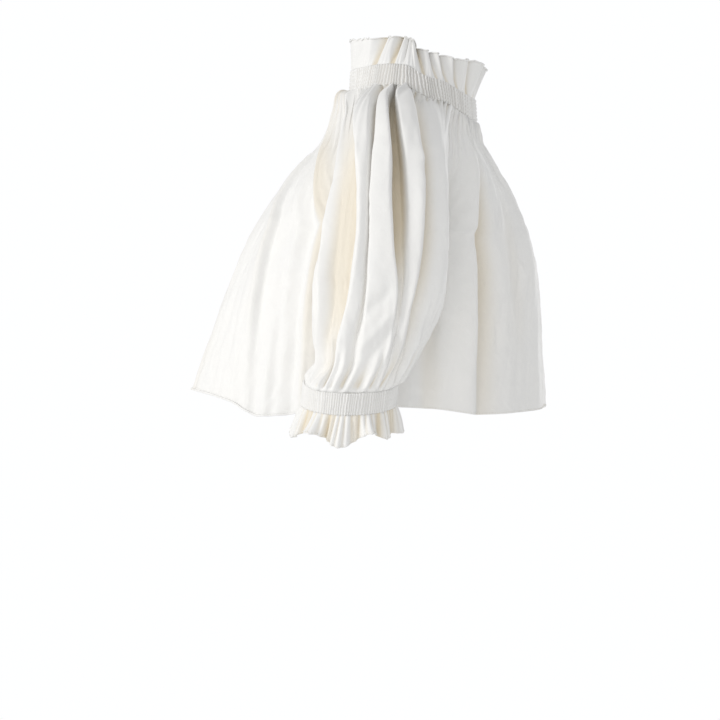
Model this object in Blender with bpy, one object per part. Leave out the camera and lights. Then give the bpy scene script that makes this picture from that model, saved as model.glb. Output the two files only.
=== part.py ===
"""Smock top, worn: a cropped, flared body with raglan balloon sleeves.

The neck and both cuffs are drawn in by shirred bands, and a ruffle stands out beyond each band.

Frame, in metres: +Z is up, +X is towards the wearer's left and -Y is towards the wearer's front.
The origin is the centre of the neck opening, half way up the neck band.

Every cloth surface is a grid of sections. A section runs round the wearer or round an arm, and
the sections follow each other from the neck to the hem, or from the armhole to the cuff. Folds
push the grid out or in along its normals, and Solidify then gives the cloth its wall.
"""

import math
from collections import namedtuple

import bmesh
import bpy
import numpy as np

MM = 0.001

CLOTH_WALL = 1.5 * MM
SEAM_GAP = 1.9 * MM
NECK_EDGE_GAP = 0.95 * MM
NECK_RUFFLE_GAP = 1.1 * MM
CUFF_EDGE_GAP = 0.95 * MM
CUFF_RUFFLE_GAP = 0.65 * MM

# The neck ring is an ellipse seen from above.
NECK_HALF_WIDTH = 107 * MM
NECK_HALF_DEPTH = 72 * MM
NECK_CENTRE_BACK = 2 * MM

NECK_BAND_HEIGHT = 26 * MM
NECK_RUFFLE_WAVES = 32
NECK_RIBS = 100

CUFF_BAND_HEIGHT = 25 * MM
CUFF_RUFFLE_HEIGHT = 29 * MM
CUFF_RUFFLE_WAVES = 18
CUFF_RIBS = 50
CUFF_TILT = math.radians(14)
CUFF_SWING = 0.11

BAND_WALL = 2.2 * MM
RIB_HEIGHT = 1.4 * MM
THREAD_DIP = 0.7 * MM

# Angles round the neck and the body start at the wearer's left side and turn towards the back.
LEFT_RAGLAN_FRONT = -66.0
LEFT_RAGLAN_BACK = 38.0
UNDERARM_DOWN = 0.43
UNDERARM_TIP = 0.416

# Angles round a sleeve start at its outer side. The neck edge fills this much each way.
NECK_EDGE_ANGLE = 75.0
SLEEVE_SQUARENESS = 2.4

# Round the neck: the band's middle, then the ruffle's rise above the band and how far its free
# edge goes inwards. Both sides of the neck are alike.
NeckRow = namedtuple("NeckRow", "angle height rise inward")
NECK_ROWS = (
    NeckRow(-90, 0.0090, 0.037, 0.000),
    NeckRow(-55, 0.0070, 0.034, 0.012),
    NeckRow(-30, 0.0075, 0.033, 0.024),
    NeckRow(-8, 0.0050, 0.033, 0.029),
    NeckRow(4, -0.0035, 0.036, 0.029),
    NeckRow(13, -0.0090, 0.036, 0.026),
    NeckRow(24, -0.0115, 0.034, 0.020),
    NeckRow(35, -0.0155, 0.034, 0.012),
    NeckRow(48, -0.0215, 0.038, 0.002),
    NeckRow(65, -0.0260, 0.042, -0.007),
    NeckRow(90, -0.0250, 0.036, -0.011),
)

BodyRow = namedtuple("BodyRow", "down half_width front back")
BODY_ROWS = (
    BodyRow(0.00, 0.110, 0.0735, 0.0755),
    BodyRow(0.03, 0.115, 0.088, 0.078),
    BodyRow(0.08, 0.120, 0.092, 0.083),
    BodyRow(0.17, 0.129, 0.107, 0.101),
    BodyRow(0.28, 0.139, 0.142, 0.121),
    BodyRow(0.42, 0.146, 0.178, 0.142),
    BodyRow(0.55, 0.148, 0.202, 0.151),
    BodyRow(0.75, 0.149, 0.229, 0.156),
    BodyRow(1.00, 0.150, 0.258, 0.161),
)

HemRow = namedtuple("HemRow", "angle height")
HEM_ROWS = (
    HemRow(-90, -0.359),
    HemRow(-70, -0.362),
    HemRow(-52, -0.371),
    HemRow(-38, -0.388),
    HemRow(-22, -0.384),
    HemRow(0, -0.376),
    HemRow(20, -0.379),
    HemRow(37, -0.386),
    HemRow(62, -0.383),
    HemRow(90, -0.378),
    HemRow(118, -0.385),
    HemRow(143, -0.384),
    HemRow(160, -0.377),
    HemRow(182, -0.376),
    HemRow(205, -0.386),
    HemRow(222, -0.385),
    HemRow(240, -0.368),
    HemRow(270, -0.359),
)

SleeveRow = namedtuple("SleeveRow", "along outer_x outer_z inner_x inner_z front back")
SLEEVE_ROWS = (
    SleeveRow(0.00, 0.114, -0.010, 0.151, -0.176, -0.078, 0.044),
    SleeveRow(0.07, 0.140, -0.018, 0.158, -0.184, -0.084, 0.036),
    SleeveRow(0.16, 0.180, -0.029, 0.165, -0.192, -0.087, 0.034),
    SleeveRow(0.26, 0.222, -0.055, 0.170, -0.202, -0.090, 0.035),
    SleeveRow(0.38, 0.254, -0.102, 0.173, -0.217, -0.096, 0.036),
    SleeveRow(0.52, 0.275, -0.162, 0.176, -0.240, -0.105, 0.036),
    SleeveRow(0.68, 0.286, -0.228, 0.179, -0.272, -0.112, 0.031),
    SleeveRow(0.82, 0.287, -0.284, 0.181, -0.305, -0.113, 0.016),
    SleeveRow(0.92, 0.281, -0.324, 0.182, -0.326, -0.110, -0.001),
    SleeveRow(1.00, 0.273, -0.360, 0.180, -0.337, -0.122, -0.020),
)

# A fold is a ridge, or with a negative height a valley, that runs down a panel or a sleeve.
# Its height and its lean to one side are in millimetres.
Fold = namedtuple("Fold", "top low height lean width start end")

# Places across a body panel go from 0 at its first seam to 1 at its other seam.
FRONT_FOLDS = (
    Fold(0.110, 0.030, -8, 0, 0.030, 0.10, 1.10),
    Fold(0.220, 0.085, 9, 4, 0.032, 0.06, 1.10),
    Fold(0.270, 0.125, -6, 0, 0.025, 0.15, 1.10),
    Fold(0.330, 0.170, 12, 8, 0.028, 0.10, 1.10),
    Fold(0.370, 0.245, -14, 0, 0.026, 0.18, 1.00),
    Fold(0.410, 0.310, 7, 2, 0.030, 0.05, 1.10),
    Fold(0.440, 0.365, -5, 0, 0.020, 0.45, 1.10),
    Fold(0.470, 0.415, 5, 0, 0.020, 0.35, 1.10),
    Fold(0.510, 0.470, -7, 0, 0.022, 0.10, 1.10),
    Fold(0.560, 0.535, 7, -3, 0.030, 0.05, 1.10),
    Fold(0.600, 0.600, -10, 0, 0.026, 0.20, 1.10),
    Fold(0.650, 0.690, 10, -5, 0.034, 0.08, 1.10),
    Fold(0.710, 0.770, -12, 0, 0.028, 0.18, 0.95),
    Fold(0.750, 0.845, 9, -5, 0.030, 0.10, 1.10),
    Fold(0.810, 0.905, -5, 0, 0.024, 0.20, 1.10),
    Fold(0.870, 0.955, 3, 0, 0.022, 0.12, 1.10),
)
BACK_FOLDS = (
    Fold(0.040, 0.045, 2, 0, 0.022, 0.45, 1.10),
    Fold(0.095, 0.095, -7, 0, 0.024, 0.25, 1.10),
    Fold(0.160, 0.165, 12, 8, 0.030, 0.05, 1.10),
    Fold(0.212, 0.232, -14, 0, 0.028, 0.12, 1.10),
    Fold(0.280, 0.300, 5, 0, 0.030, 0.20, 1.10),
    Fold(0.335, 0.360, -6, 0, 0.026, 0.35, 1.10),
    Fold(0.400, 0.430, 8, 3, 0.036, 0.08, 1.10),
    Fold(0.465, 0.490, -6, 0, 0.030, 0.10, 0.90),
    Fold(0.525, 0.550, 4, 2, 0.030, 0.12, 1.10),
    Fold(0.590, 0.605, -8, 0, 0.026, 0.15, 1.10),
    Fold(0.660, 0.665, 10, -4, 0.034, 0.06, 1.10),
    Fold(0.720, 0.730, -10, 0, 0.028, 0.20, 1.10),
    Fold(0.790, 0.800, 10, -6, 0.034, 0.08, 1.10),
    Fold(0.860, 0.880, -7, 0, 0.028, 0.25, 1.10),
    Fold(0.920, 0.940, 2, 0, 0.024, 0.45, 1.10),
)

# Places round a sleeve are in degrees from its outer side, towards the back.
LEFT_SLEEVE_FOLDS = (
    Fold(-89, -86, 4, 0, 8, 0.15, 1.00),
    Fold(-74, -73, -7, 0, 6, 0.25, 0.95),
    Fold(-61, -60, 6, 2, 6, 0.15, 1.00),
    Fold(-39, -46, -18, 0, 9, 0.16, 0.98),
    Fold(-23, -31, 7, -3, 6, 0.10, 1.00),
    Fold(-14, -16, -13, 0, 5, 0.10, 0.98),
    Fold(-3, 0, 9, 5, 8, 0.04, 1.00),
    Fold(14, 16, -32, 0, 7, 0.03, 0.80),
    Fold(31, 34, 7, 4, 8, 0.04, 1.00),
    Fold(46, 51, -15, 0, 6, 0.10, 0.95),
    Fold(60, 62, 3, 0, 6, 0.06, 0.90),
    Fold(80, 82, 4, 0, 9, 0.16, 0.96),
    Fold(103, 104, -6, 0, 9, 0.20, 0.95),
    Fold(128, 126, 4, 0, 10, 0.25, 1.00),
    Fold(152, 150, -4, 0, 9, 0.25, 0.95),
    Fold(206, 208, -4, 0, 10, 0.25, 0.95),
    Fold(232, 234, 4, 0, 10, 0.25, 1.00),
    Fold(255, 256, -5, 0, 8, 0.20, 0.95),
)
RIGHT_SLEEVE_FOLDS = (
    Fold(-84, -80, 5, 0, 9, 0.12, 1.00),
    Fold(-66, -68, -12, 0, 8, 0.18, 0.95),
    Fold(-50, -52, 7, 3, 7, 0.10, 1.00),
    Fold(-34, -38, -18, 0, 8, 0.12, 0.96),
    Fold(-18, -22, 8, 4, 8, 0.06, 1.00),
    Fold(-2, -4, -26, 0, 7, 0.04, 0.80),
    Fold(15, 14, 9, -4, 9, 0.04, 1.00),
    Fold(31, 30, -14, 0, 6, 0.14, 0.98),
    Fold(43, 46, 6, 0, 7, 0.10, 1.00),
    Fold(58, 62, -14, 0, 7, 0.08, 0.90),
    Fold(77, 80, 4, 0, 9, 0.16, 0.96),
    Fold(102, 100, -6, 0, 9, 0.20, 0.95),
    Fold(126, 128, 4, 0, 10, 0.25, 1.00),
    Fold(150, 152, -4, 0, 9, 0.25, 0.95),
    Fold(208, 206, -4, 0, 10, 0.25, 0.95),
    Fold(233, 230, 4, 0, 10, 0.25, 1.00),
    Fold(256, 257, -5, 0, 8, 0.20, 0.95),
)

FRONT_GATHERS = 18
BACK_GATHERS = 22
SLEEVE_GATHERS = 20
SLEEVE_INNER_COLUMNS = 20
GATHER_HEIGHT = 2.6 * MM
GATHER_FADE = 0.16
FRONT_PUFF_RISE = 5 * MM
CUFF_GATHER_HEIGHT = 2.6 * MM
CUFF_GATHER_FADE = 0.12
SEAM_PUFF = 10 * MM
NECK_DROP = 4 * MM

BODY_DOWN = (0.0, 0.03, 0.07, 0.12, 0.185, 0.26, 0.345, 0.43, 0.53, 0.67, 0.80, 0.91, 1.0)
SLEEVE_ALONG = (0.0, 0.03, 0.08, 0.15, 0.24, 0.36, 0.50, 0.64, 0.78, 0.89, 0.96, 1.0)

IVORY_CLOTH = (0.90, 0.885, 0.84, 1.0)
WHITE_BAND = (0.93, 0.925, 0.90, 1.0)


def clear_scene():
    """Removes the objects that are there at the start."""
    for obj in list(bpy.data.objects):
        bpy.data.objects.remove(obj, do_unlink=True)


def material(name, colour, roughness):
    """A matt cloth finish."""
    made = bpy.data.materials.new(name)
    made.use_nodes = True
    shader = made.node_tree.nodes["Principled BSDF"]
    shader.inputs["Base Color"].default_value = colour
    shader.inputs["Roughness"].default_value = roughness
    shader.inputs["Metallic"].default_value = 0.0
    return made


def eased(places, values, at):
    """Values read between the rows of a table, on a smooth curve that doesn't overshoot."""
    places = np.asarray(places, float)
    values = np.asarray(values, float)
    steps = np.diff(places)
    slopes = np.diff(values) / steps
    tangents = np.zeros(len(places))
    same_way = slopes[1:] * slopes[:-1] > 0
    harmonic = 2 * slopes[1:] * slopes[:-1] / np.where(same_way, slopes[1:] + slopes[:-1], 1)
    tangents[1:-1] = np.where(same_way, harmonic, 0)
    tangents[0], tangents[-1] = slopes[0], slopes[-1]
    at = np.clip(np.asarray(at, float), places[0], places[-1])
    row = np.clip(np.searchsorted(places, at, side="right") - 1, 0, len(steps) - 1)
    t = (at - places[row]) / steps[row]
    rise = values[row + 1] - values[row]
    first, last = tangents[row] * steps[row], tangents[row + 1] * steps[row]
    return values[row] + t * (first + t * (3 * rise - 2 * first - last + t * (first + last - 2 * rise)))


def column(rows, name):
    """One named column of a table."""
    return [getattr(row, name) for row in rows]


def smooth_step(start, end, at):
    """Rises from 0 at start to 1 at end."""
    t = np.clip((np.asarray(at, float) - start) / (end - start), 0, 1)
    return t * t * (3 - 2 * t)


def uneven_places(count, sway):
    """count + 1 places from 0 to 1, a little closer together here and there."""
    even = np.linspace(0, 1, count + 1)
    shift = 0.6 * np.sin(2 * math.pi * 3 * even) + 0.4 * np.sin(2 * math.pi * 7 * even)
    return even + sway * shift / count


def round_neck(name, angle):
    """A column of the neck table at angles round the neck."""
    one_side = np.abs((np.asarray(angle, float) - 90) % 360 - 180) - 90
    return eased(column(NECK_ROWS, "angle"), column(NECK_ROWS, name), one_side)


def neck_outward(angle):
    """The neck ellipse's outward direction, seen from above."""
    turn = np.radians(angle)
    x = np.cos(turn) / NECK_HALF_WIDTH
    y = np.sin(turn) / NECK_HALF_DEPTH
    size = np.hypot(x, y)
    return x / size, y / size


def neck_band_point(angle, up, out):
    """A point on the neck band, up from its middle and out from its inner face."""
    turn = np.radians(angle)
    lean = np.radians(14 - 11 * np.sin(turn) ** 2)
    out_x, out_y = neck_outward(angle)
    level = out * np.cos(lean) - up * np.sin(lean)
    x = NECK_HALF_WIDTH * np.cos(turn) + level * out_x
    y = NECK_CENTRE_BACK + NECK_HALF_DEPTH * np.sin(turn) + level * out_y
    z = round_neck("height", angle) + up * np.cos(lean) + out * np.sin(lean)
    return np.stack([x, y, z], axis=-1)


def body_point(down, angle):
    """A point on the body's surface, down from the neck band at 0 to the hem at 1."""
    turn = np.radians(angle)
    places = column(BODY_ROWS, "down")
    half_width = eased(places, column(BODY_ROWS, "half_width"), down)
    front = eased(places, column(BODY_ROWS, "front"), down)
    back = eased(places, column(BODY_ROWS, "back"), down)
    half_depth, middle = (front + back) / 2, (back - front) / 2
    x = half_width * np.cos(turn)
    y = middle + half_depth * np.sin(turn)
    top = neck_band_point(angle, -NECK_BAND_HEIGHT / 2 - NECK_EDGE_GAP, BAND_WALL / 2)[..., 2]
    wrapped = (np.asarray(angle, float) + 90) % 360 - 90
    hem = eased(column(HEM_ROWS, "angle"), column(HEM_ROWS, "height"), wrapped)
    z = top + down * (hem - top)
    puff = smooth_step(0, 0.03, down) * (1 - smooth_step(0.03, 0.16, down))
    z = z + FRONT_PUFF_RISE * puff * np.clip(-np.sin(turn), 0, 1) ** 2
    return np.stack([x, y, z], axis=-1)


def raglan_angle(down, at_neck):
    """Angle of a left raglan seam. It ends at the underarm, where the straight side seam starts."""
    left = np.clip(1 - np.asarray(down, float) / UNDERARM_DOWN, 0, 1) ** 0.9
    half_gap = math.copysign(math.degrees(0.5 * MM / BODY_ROWS[-1].half_width), at_neck)
    return half_gap + (at_neck - half_gap) * left


def sleeve_side_of_seam(at_neck):
    """Points down the left sleeve's side of a raglan seam, one for each section of the body."""
    down = np.array([d for d in BODY_DOWN if d < UNDERARM_DOWN])
    angle = raglan_angle(down, at_neck)
    seam = body_point(down, angle)
    along = body_point(down + 0.01, raglan_angle(down + 0.01, at_neck)) - seam
    around = body_point(down, angle + 0.5) - body_point(down, angle - 0.5)
    out = np.cross(around, np.array([0, 0, -1.0]))
    towards = np.cross(out, along)
    towards = towards / np.linalg.norm(towards, axis=1, keepdims=True)
    backwards = np.sign(np.sum(towards * around, axis=1, keepdims=True))
    towards = towards * backwards * -math.copysign(1, at_neck)
    return np.concatenate([seam + SEAM_GAP * towards, body_point(UNDERARM_TIP, 0.0)[None]])


def grid_directions(grid, closed):
    """Unit vectors across a grid's sections, and out from its surface. A closed grid is rings."""
    if closed:
        across = np.roll(grid, -1, axis=1) - np.roll(grid, 1, axis=1)
    else:
        across = np.gradient(grid, axis=1)
    normals = np.cross(np.gradient(grid, axis=0), across)
    normals = normals / np.linalg.norm(normals, axis=2, keepdims=True)
    return across / np.linalg.norm(across, axis=2, keepdims=True), normals


def fold_shifts(folds, across, along):
    """How far the folds lift the cloth and carry it sideways, in metres, over a grid."""
    lift = np.zeros(np.broadcast(across, along).shape)
    sideways = np.zeros(lift.shape)
    for fold in folds:
        line = fold.top + (fold.low - fold.top) * along
        bell = np.exp(-(((across - line) / fold.width) ** 2))
        begins = smooth_step(fold.start, fold.start + 0.22, along)
        ends = 1 - smooth_step(fold.end - 0.18, fold.end, along) if fold.end <= 1 else 1
        lift = lift + fold.height * MM * bell * begins * ends
        sideways = sideways + fold.lean * MM * bell * begins * ends
    return lift, sideways


def along_folds(folds, columns, down):
    """Places across a panel, from 0 to 1, of columns that run down it the way its folds do."""
    middle = [0.0] + [(fold.top + fold.low) / 2 for fold in folds] + [1.0]
    rows = []
    for place in down:
        lines = [0.0] + [fold.top + (fold.low - fold.top) * place for fold in folds] + [1.0]
        rows.append(np.interp(columns, middle, lines))
    return np.array(rows)


def body_panel(first_seam, last_seam, gathers, folds):
    """The grid of a body panel, between two angles that change down the body."""
    down = np.array(BODY_DOWN)[:, None]
    across = along_folds(folds, uneven_places(2 * gathers, 0.35), down[:, 0])
    angle = first_seam(down) + (last_seam(down) - first_seam(down)) * across
    grid = body_point(down, angle)
    crest = np.where(np.arange(2 * gathers + 1) % 2 == 0, -1.0, 1.0)[None, :]
    grip = smooth_step(0, 0.05, down) * np.exp(-((down / GATHER_FADE) ** 2))
    at_seam = smooth_step(0, 0.05, across) * (1 - smooth_step(0.95, 1, across))
    lift, sideways = fold_shifts(folds, across, down)
    lift = lift + GATHER_HEIGHT * crest * grip
    side, out = grid_directions(grid, False)
    return grid + (out * lift[..., None] + side * sideways[..., None]) * at_seam[..., None]


def armhole_ring(angle):
    """The left sleeve's first section: the neck edge on top, then the two raglan seams."""
    rows = [d for d in BODY_DOWN if d < UNDERARM_DOWN] + [UNDERARM_DOWN]
    turned = (angle + 180) % 360 - 180
    share = (turned + NECK_EDGE_ANGLE) / (2 * NECK_EDGE_ANGLE)
    inset = math.degrees(SEAM_GAP / NECK_HALF_WIDTH)
    first, last = LEFT_RAGLAN_FRONT + inset, LEFT_RAGLAN_BACK - inset
    ring = body_point(0.0, first + (last - first) * np.clip(share, 0, 1))
    down = UNDERARM_DOWN * (np.abs(turned) - NECK_EDGE_ANGLE) / (180 - NECK_EDGE_ANGLE)
    for at_neck in (LEFT_RAGLAN_FRONT, LEFT_RAGLAN_BACK):
        seam = sleeve_side_of_seam(at_neck)
        on_seam = (down > 0) & (np.sign(turned) == np.sign(at_neck))
        for axis in range(3):
            ring[on_seam, axis] = np.interp(down[on_seam], rows, seam[:, axis])
    return ring


def sleeve_ring(along, angle):
    """A section of the left sleeve away from the armhole, between its outer and inner lines."""
    places = column(SLEEVE_ROWS, "along")
    read = {name: eased(places, column(SLEEVE_ROWS, name), along) for name in SleeveRow._fields[1:]}
    turn = np.radians(angle)
    power = 2 / SLEEVE_SQUARENESS
    out = np.sign(np.cos(turn)) * np.abs(np.cos(turn)) ** power
    side = np.sign(np.sin(turn)) * np.abs(np.sin(turn)) ** power
    x = (read["outer_x"] + read["inner_x"]) / 2 + (read["outer_x"] - read["inner_x"]) / 2 * out
    z = (read["outer_z"] + read["inner_z"]) / 2 + (read["outer_z"] - read["inner_z"]) / 2 * out
    y = (read["front"] + read["back"]) / 2 + (read["back"] - read["front"]) / 2 * side
    return np.stack([x, y, z], axis=-1)


def sleeve_columns():
    """Angles of a sleeve's columns, closest together along the gathered neck edge."""
    neck = NECK_EDGE_ANGLE * (2 * uneven_places(2 * SLEEVE_GATHERS, 0.35) - 1)
    rest = 360 - 2 * NECK_EDGE_ANGLE
    inner = NECK_EDGE_ANGLE + rest * np.arange(1, SLEEVE_INNER_COLUMNS) / SLEEVE_INNER_COLUMNS
    return np.concatenate([neck, inner])


def sleeve(folds):
    """The grid of a left sleeve, from the armhole to the top of the cuff band."""
    angle = sleeve_columns()
    along = np.array(SLEEVE_ALONG)[:, None]
    leaving = smooth_step(0, 0.30, along)
    grid = armhole_ring(angle)[None] * (1 - leaving)[..., None]
    grid = grid + sleeve_ring(along, angle[None, :]) * leaving[..., None]
    crest = np.where(np.arange(len(angle)) % 2 == 0, -1.0, 1.0)[None, :]
    turned = np.where(angle > 270, angle - 360, angle)[None, :]
    on_neck = 1 - smooth_step(NECK_EDGE_ANGLE - 10, NECK_EDGE_ANGLE, np.abs(turned))
    off_corner = 1 - smooth_step(NECK_EDGE_ANGLE - 30, NECK_EDGE_ANGLE - 5, np.abs(turned))
    stand_off = np.sqrt(4 * leaving * (1 - leaving)) * SEAM_PUFF
    grid[..., 0] += stand_off * (1 - on_neck)
    below_band = smooth_step(0, 0.04, along) * (1 - smooth_step(0.08, 0.3, along))
    grid[..., 2] -= below_band * NECK_DROP * off_corner
    off_seam = smooth_step(0, 0.12, along) * (1 - on_neck) + on_neck
    at_top = smooth_step(0, 0.05, along) * np.exp(-((along / GATHER_FADE) ** 2)) * on_neck
    from_cuff = 1 - along
    at_cuff = smooth_step(0, 0.03, from_cuff) * np.exp(-((from_cuff / CUFF_GATHER_FADE) ** 2))
    lift, sideways = fold_shifts(folds, turned, along)
    free = off_seam * smooth_step(0, 0.06, from_cuff)
    lift = lift * free + crest * (GATHER_HEIGHT * at_top + CUFF_GATHER_HEIGHT * at_cuff)
    side, out = grid_directions(grid, True)
    return grid + out * lift[..., None] + side * (sideways * free)[..., None]


def cuff_point(angle, down, out):
    """A point on the left cuff, down along the arm from its top edge and out from its wall."""
    last = SLEEVE_ROWS[-1]
    turn = np.radians(angle)
    half_x = (last.outer_x - last.inner_x) / 2 / math.cos(CUFF_TILT) + out
    half_y = (last.back - last.front) / 2 + out
    side, fore = half_x * np.cos(turn), half_y * np.sin(turn)
    x = (last.outer_x + last.inner_x) / 2 + side * math.cos(CUFF_TILT) - down * math.sin(CUFF_TILT)
    y = (last.front + last.back) / 2 + fore - down * CUFF_SWING
    z = (last.outer_z + last.inner_z) / 2 - side * math.sin(CUFF_TILT) - down * math.cos(CUFF_TILT)
    return np.stack([x, y, z], axis=-1)


def wave_columns(waves, steps):
    """Angles and wave phases of a ruffle's columns. The waves are uneven in length."""
    fine = np.linspace(0, 360, 2881)
    turn = np.radians(fine)
    phase = waves * turn + 0.9 * np.sin(3 * turn + 0.7) + 0.5 * np.sin(7 * turn + 2.1)
    phase = phase - phase[0]
    wanted = np.arange(waves * steps) * 2 * math.pi / steps
    return np.interp(wanted, phase, fine), wanted


def neck_ruffle():
    """The grid of the standing ruffle, from the top of the neck band to its free edge."""
    angle, phase = wave_columns(NECK_RUFFLE_WAVES, 4)
    up = np.array([0.0, 0.45, 1.0])[:, None]
    base = neck_band_point(angle, NECK_BAND_HEIGHT / 2 + NECK_RUFFLE_GAP, BAND_WALL / 2)
    out_x, out_y = neck_outward(angle)
    behind = np.clip(np.sin(np.radians(angle)), 0, 1)
    size = 1 + 0.25 * np.sin(5 * np.radians(angle) + 1.0)
    swing = (3.2 + 4.8 * behind) * MM * size * np.sin(phase) * np.sqrt(up)
    level = swing - round_neck("inward", angle) * up ** 1.2
    drop = 5 * MM * behind * np.clip(np.sin(phase), 0, 1) * up
    x = base[:, 0] + level * out_x
    y = base[:, 1] + level * out_y
    z = base[:, 2] + round_neck("rise", angle) * up - drop
    return np.stack([x, y, z], axis=-1)


def cuff_ruffle():
    """The grid of the left cuff's ruffle, from the bottom of the band to its free edge."""
    angle, phase = wave_columns(CUFF_RUFFLE_WAVES, 4)
    down = np.array([0.0, 0.45, 1.0])[:, None]
    size = 1 + 0.25 * np.sin(4 * np.radians(angle) + 0.4)
    out = (BAND_WALL / 2 + 7 * MM * down ** 1.3) + 5.0 * MM * size * np.sin(phase) * np.sqrt(down)
    drop = CUFF_BAND_HEIGHT + CUFF_EDGE_GAP + CUFF_RUFFLE_GAP + CUFF_RUFFLE_HEIGHT * down
    drop = drop + 2.0 * MM * np.sin(2 * np.radians(angle)) * down
    return cuff_point(angle[None, :], drop, out)


def shirred_band(point, ribs, height, start):
    """The rings of a shirred band: a ribbed face that the threads draw in, and a plain back."""
    count = 2 * ribs
    angle = np.arange(count) * 360 / count
    rib = np.where(np.arange(count) % 2 == 0, RIB_HEIGHT, 0.0)
    rings = [point(angle, start + height * share, BAND_WALL + rib - dip)
             for share, dip in ((0, 0), (0.5, THREAD_DIP), (1, 0))]
    rings += [point(angle, start + height * share, 0.0) for share in (1, 0)]
    return rings


def finish_object(name, mesh, cloth, sharp_angle):
    """Links a mesh as a smooth-shaded object with its material."""
    obj = bpy.data.objects.new(name, mesh)
    bpy.context.scene.collection.objects.link(obj)
    mesh.materials.append(cloth)
    mesh.shade_smooth()
    mesh.set_sharp_from_angle(angle=math.radians(sharp_angle))
    return obj


def cloth_object(name, grid, closed, cloth):
    """Makes a grid of points a cloth wall. Rings are joined up if closed."""
    rows, columns = grid.shape[:2]
    shape = bmesh.new()
    points = [[shape.verts.new(p) for p in row] for row in grid]
    last = columns if closed else columns - 1
    for r in range(rows - 1):
        for c in range(last):
            after = (c + 1) % columns
            shape.faces.new((points[r][c], points[r][after], points[r + 1][after], points[r + 1][c]))
    bmesh.ops.recalc_face_normals(shape, faces=shape.faces)
    mesh = bpy.data.meshes.new(name)
    shape.to_mesh(mesh)
    shape.free()
    obj = finish_object(name, mesh, cloth, 60)
    wall = obj.modifiers.new("Wall", "SOLIDIFY")
    wall.thickness = CLOTH_WALL
    wall.offset = 0
    return obj


def band_object(name, rings, cloth):
    """Joins rings one after another, and the last to the first, into one closed band."""
    shape = bmesh.new()
    loops = [[shape.verts.new(p) for p in ring] for ring in rings]
    count = len(loops[0])
    for i, loop in enumerate(loops):
        above = loops[(i + 1) % len(loops)]
        for c in range(count):
            after = (c + 1) % count
            shape.faces.new((loop[c], loop[after], above[after], above[c]))
    bmesh.ops.recalc_face_normals(shape, faces=shape.faces)
    mesh = bpy.data.meshes.new(name)
    shape.to_mesh(mesh)
    shape.free()
    return finish_object(name, mesh, cloth, 25)


def mirrored(points):
    """The same points on the wearer's other side."""
    return points * np.array([-1, 1, 1])


def left_front_seam(down):
    return raglan_angle(down, LEFT_RAGLAN_FRONT)


def left_back_seam(down):
    return raglan_angle(down, LEFT_RAGLAN_BACK)


def right_front_seam(down):
    return -180 - raglan_angle(down, LEFT_RAGLAN_FRONT)


def right_back_seam(down):
    return 180 - raglan_angle(down, LEFT_RAGLAN_BACK)


def build():
    """Makes every piece of the garment."""
    clear_scene()
    ivory = material("cotton", IVORY_CLOTH, 0.85)
    white = material("shirring", WHITE_BAND, 0.8)

    front = body_panel(left_front_seam, right_front_seam, FRONT_GATHERS, FRONT_FOLDS)
    back = body_panel(left_back_seam, right_back_seam, BACK_GATHERS, BACK_FOLDS)
    cloth_object("front_panel", front, False, ivory)
    cloth_object("back_panel", back, False, ivory)

    band = shirred_band(neck_band_point, NECK_RIBS, NECK_BAND_HEIGHT, -NECK_BAND_HEIGHT / 2)
    band_object("neck_band", band, white)
    cloth_object("neck_ruffle", neck_ruffle(), True, ivory)

    cuff = shirred_band(cuff_point, CUFF_RIBS, CUFF_BAND_HEIGHT, CUFF_EDGE_GAP)
    ruffle = cuff_ruffle()
    cloth_object("left_sleeve", sleeve(LEFT_SLEEVE_FOLDS), True, ivory)
    cloth_object("right_sleeve", mirrored(sleeve(RIGHT_SLEEVE_FOLDS)), True, ivory)
    band_object("left_cuff_band", cuff, white)
    band_object("right_cuff_band", [mirrored(ring) for ring in cuff], white)
    cloth_object("left_cuff_ruffle", ruffle, True, ivory)
    cloth_object("right_cuff_ruffle", mirrored(ruffle), True, ivory)


build()
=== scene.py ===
"""A worn smock top in ivory cotton poplin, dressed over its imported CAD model.

Every cloth piece is a fine grid of points. It starts from the garment's plain worn form, and its
folds are drawn as crest and valley lines that run down it. Gathers, creases and soft ripples
follow, and Solidify gives the cloth its wall.
"""

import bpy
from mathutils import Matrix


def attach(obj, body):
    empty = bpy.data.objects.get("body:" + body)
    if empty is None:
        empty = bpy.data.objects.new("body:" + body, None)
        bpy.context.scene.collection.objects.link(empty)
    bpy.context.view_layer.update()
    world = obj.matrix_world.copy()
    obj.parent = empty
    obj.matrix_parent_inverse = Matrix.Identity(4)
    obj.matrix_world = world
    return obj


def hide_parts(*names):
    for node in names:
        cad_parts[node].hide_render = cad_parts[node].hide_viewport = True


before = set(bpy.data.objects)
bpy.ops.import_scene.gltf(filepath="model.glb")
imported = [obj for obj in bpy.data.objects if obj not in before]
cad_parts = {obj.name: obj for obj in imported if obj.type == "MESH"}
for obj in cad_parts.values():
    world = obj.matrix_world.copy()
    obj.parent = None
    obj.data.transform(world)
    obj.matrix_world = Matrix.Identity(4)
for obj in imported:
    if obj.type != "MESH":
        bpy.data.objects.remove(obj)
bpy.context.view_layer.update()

import logging
import math
from collections.abc import Callable, Sequence
from dataclasses import dataclass, field
from enum import Enum

import bpy
import numpy as np
from mathutils import Vector

LOG = logging.getLogger("smock_top")
MM = 0.001
Grid = np.ndarray


class Side(Enum):
    """The wearer's side that a piece is on, as its sign along X."""

    LEFT = 1.0
    RIGHT = -1.0


# ---------------------------------------------------------------- reading tables


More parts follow.
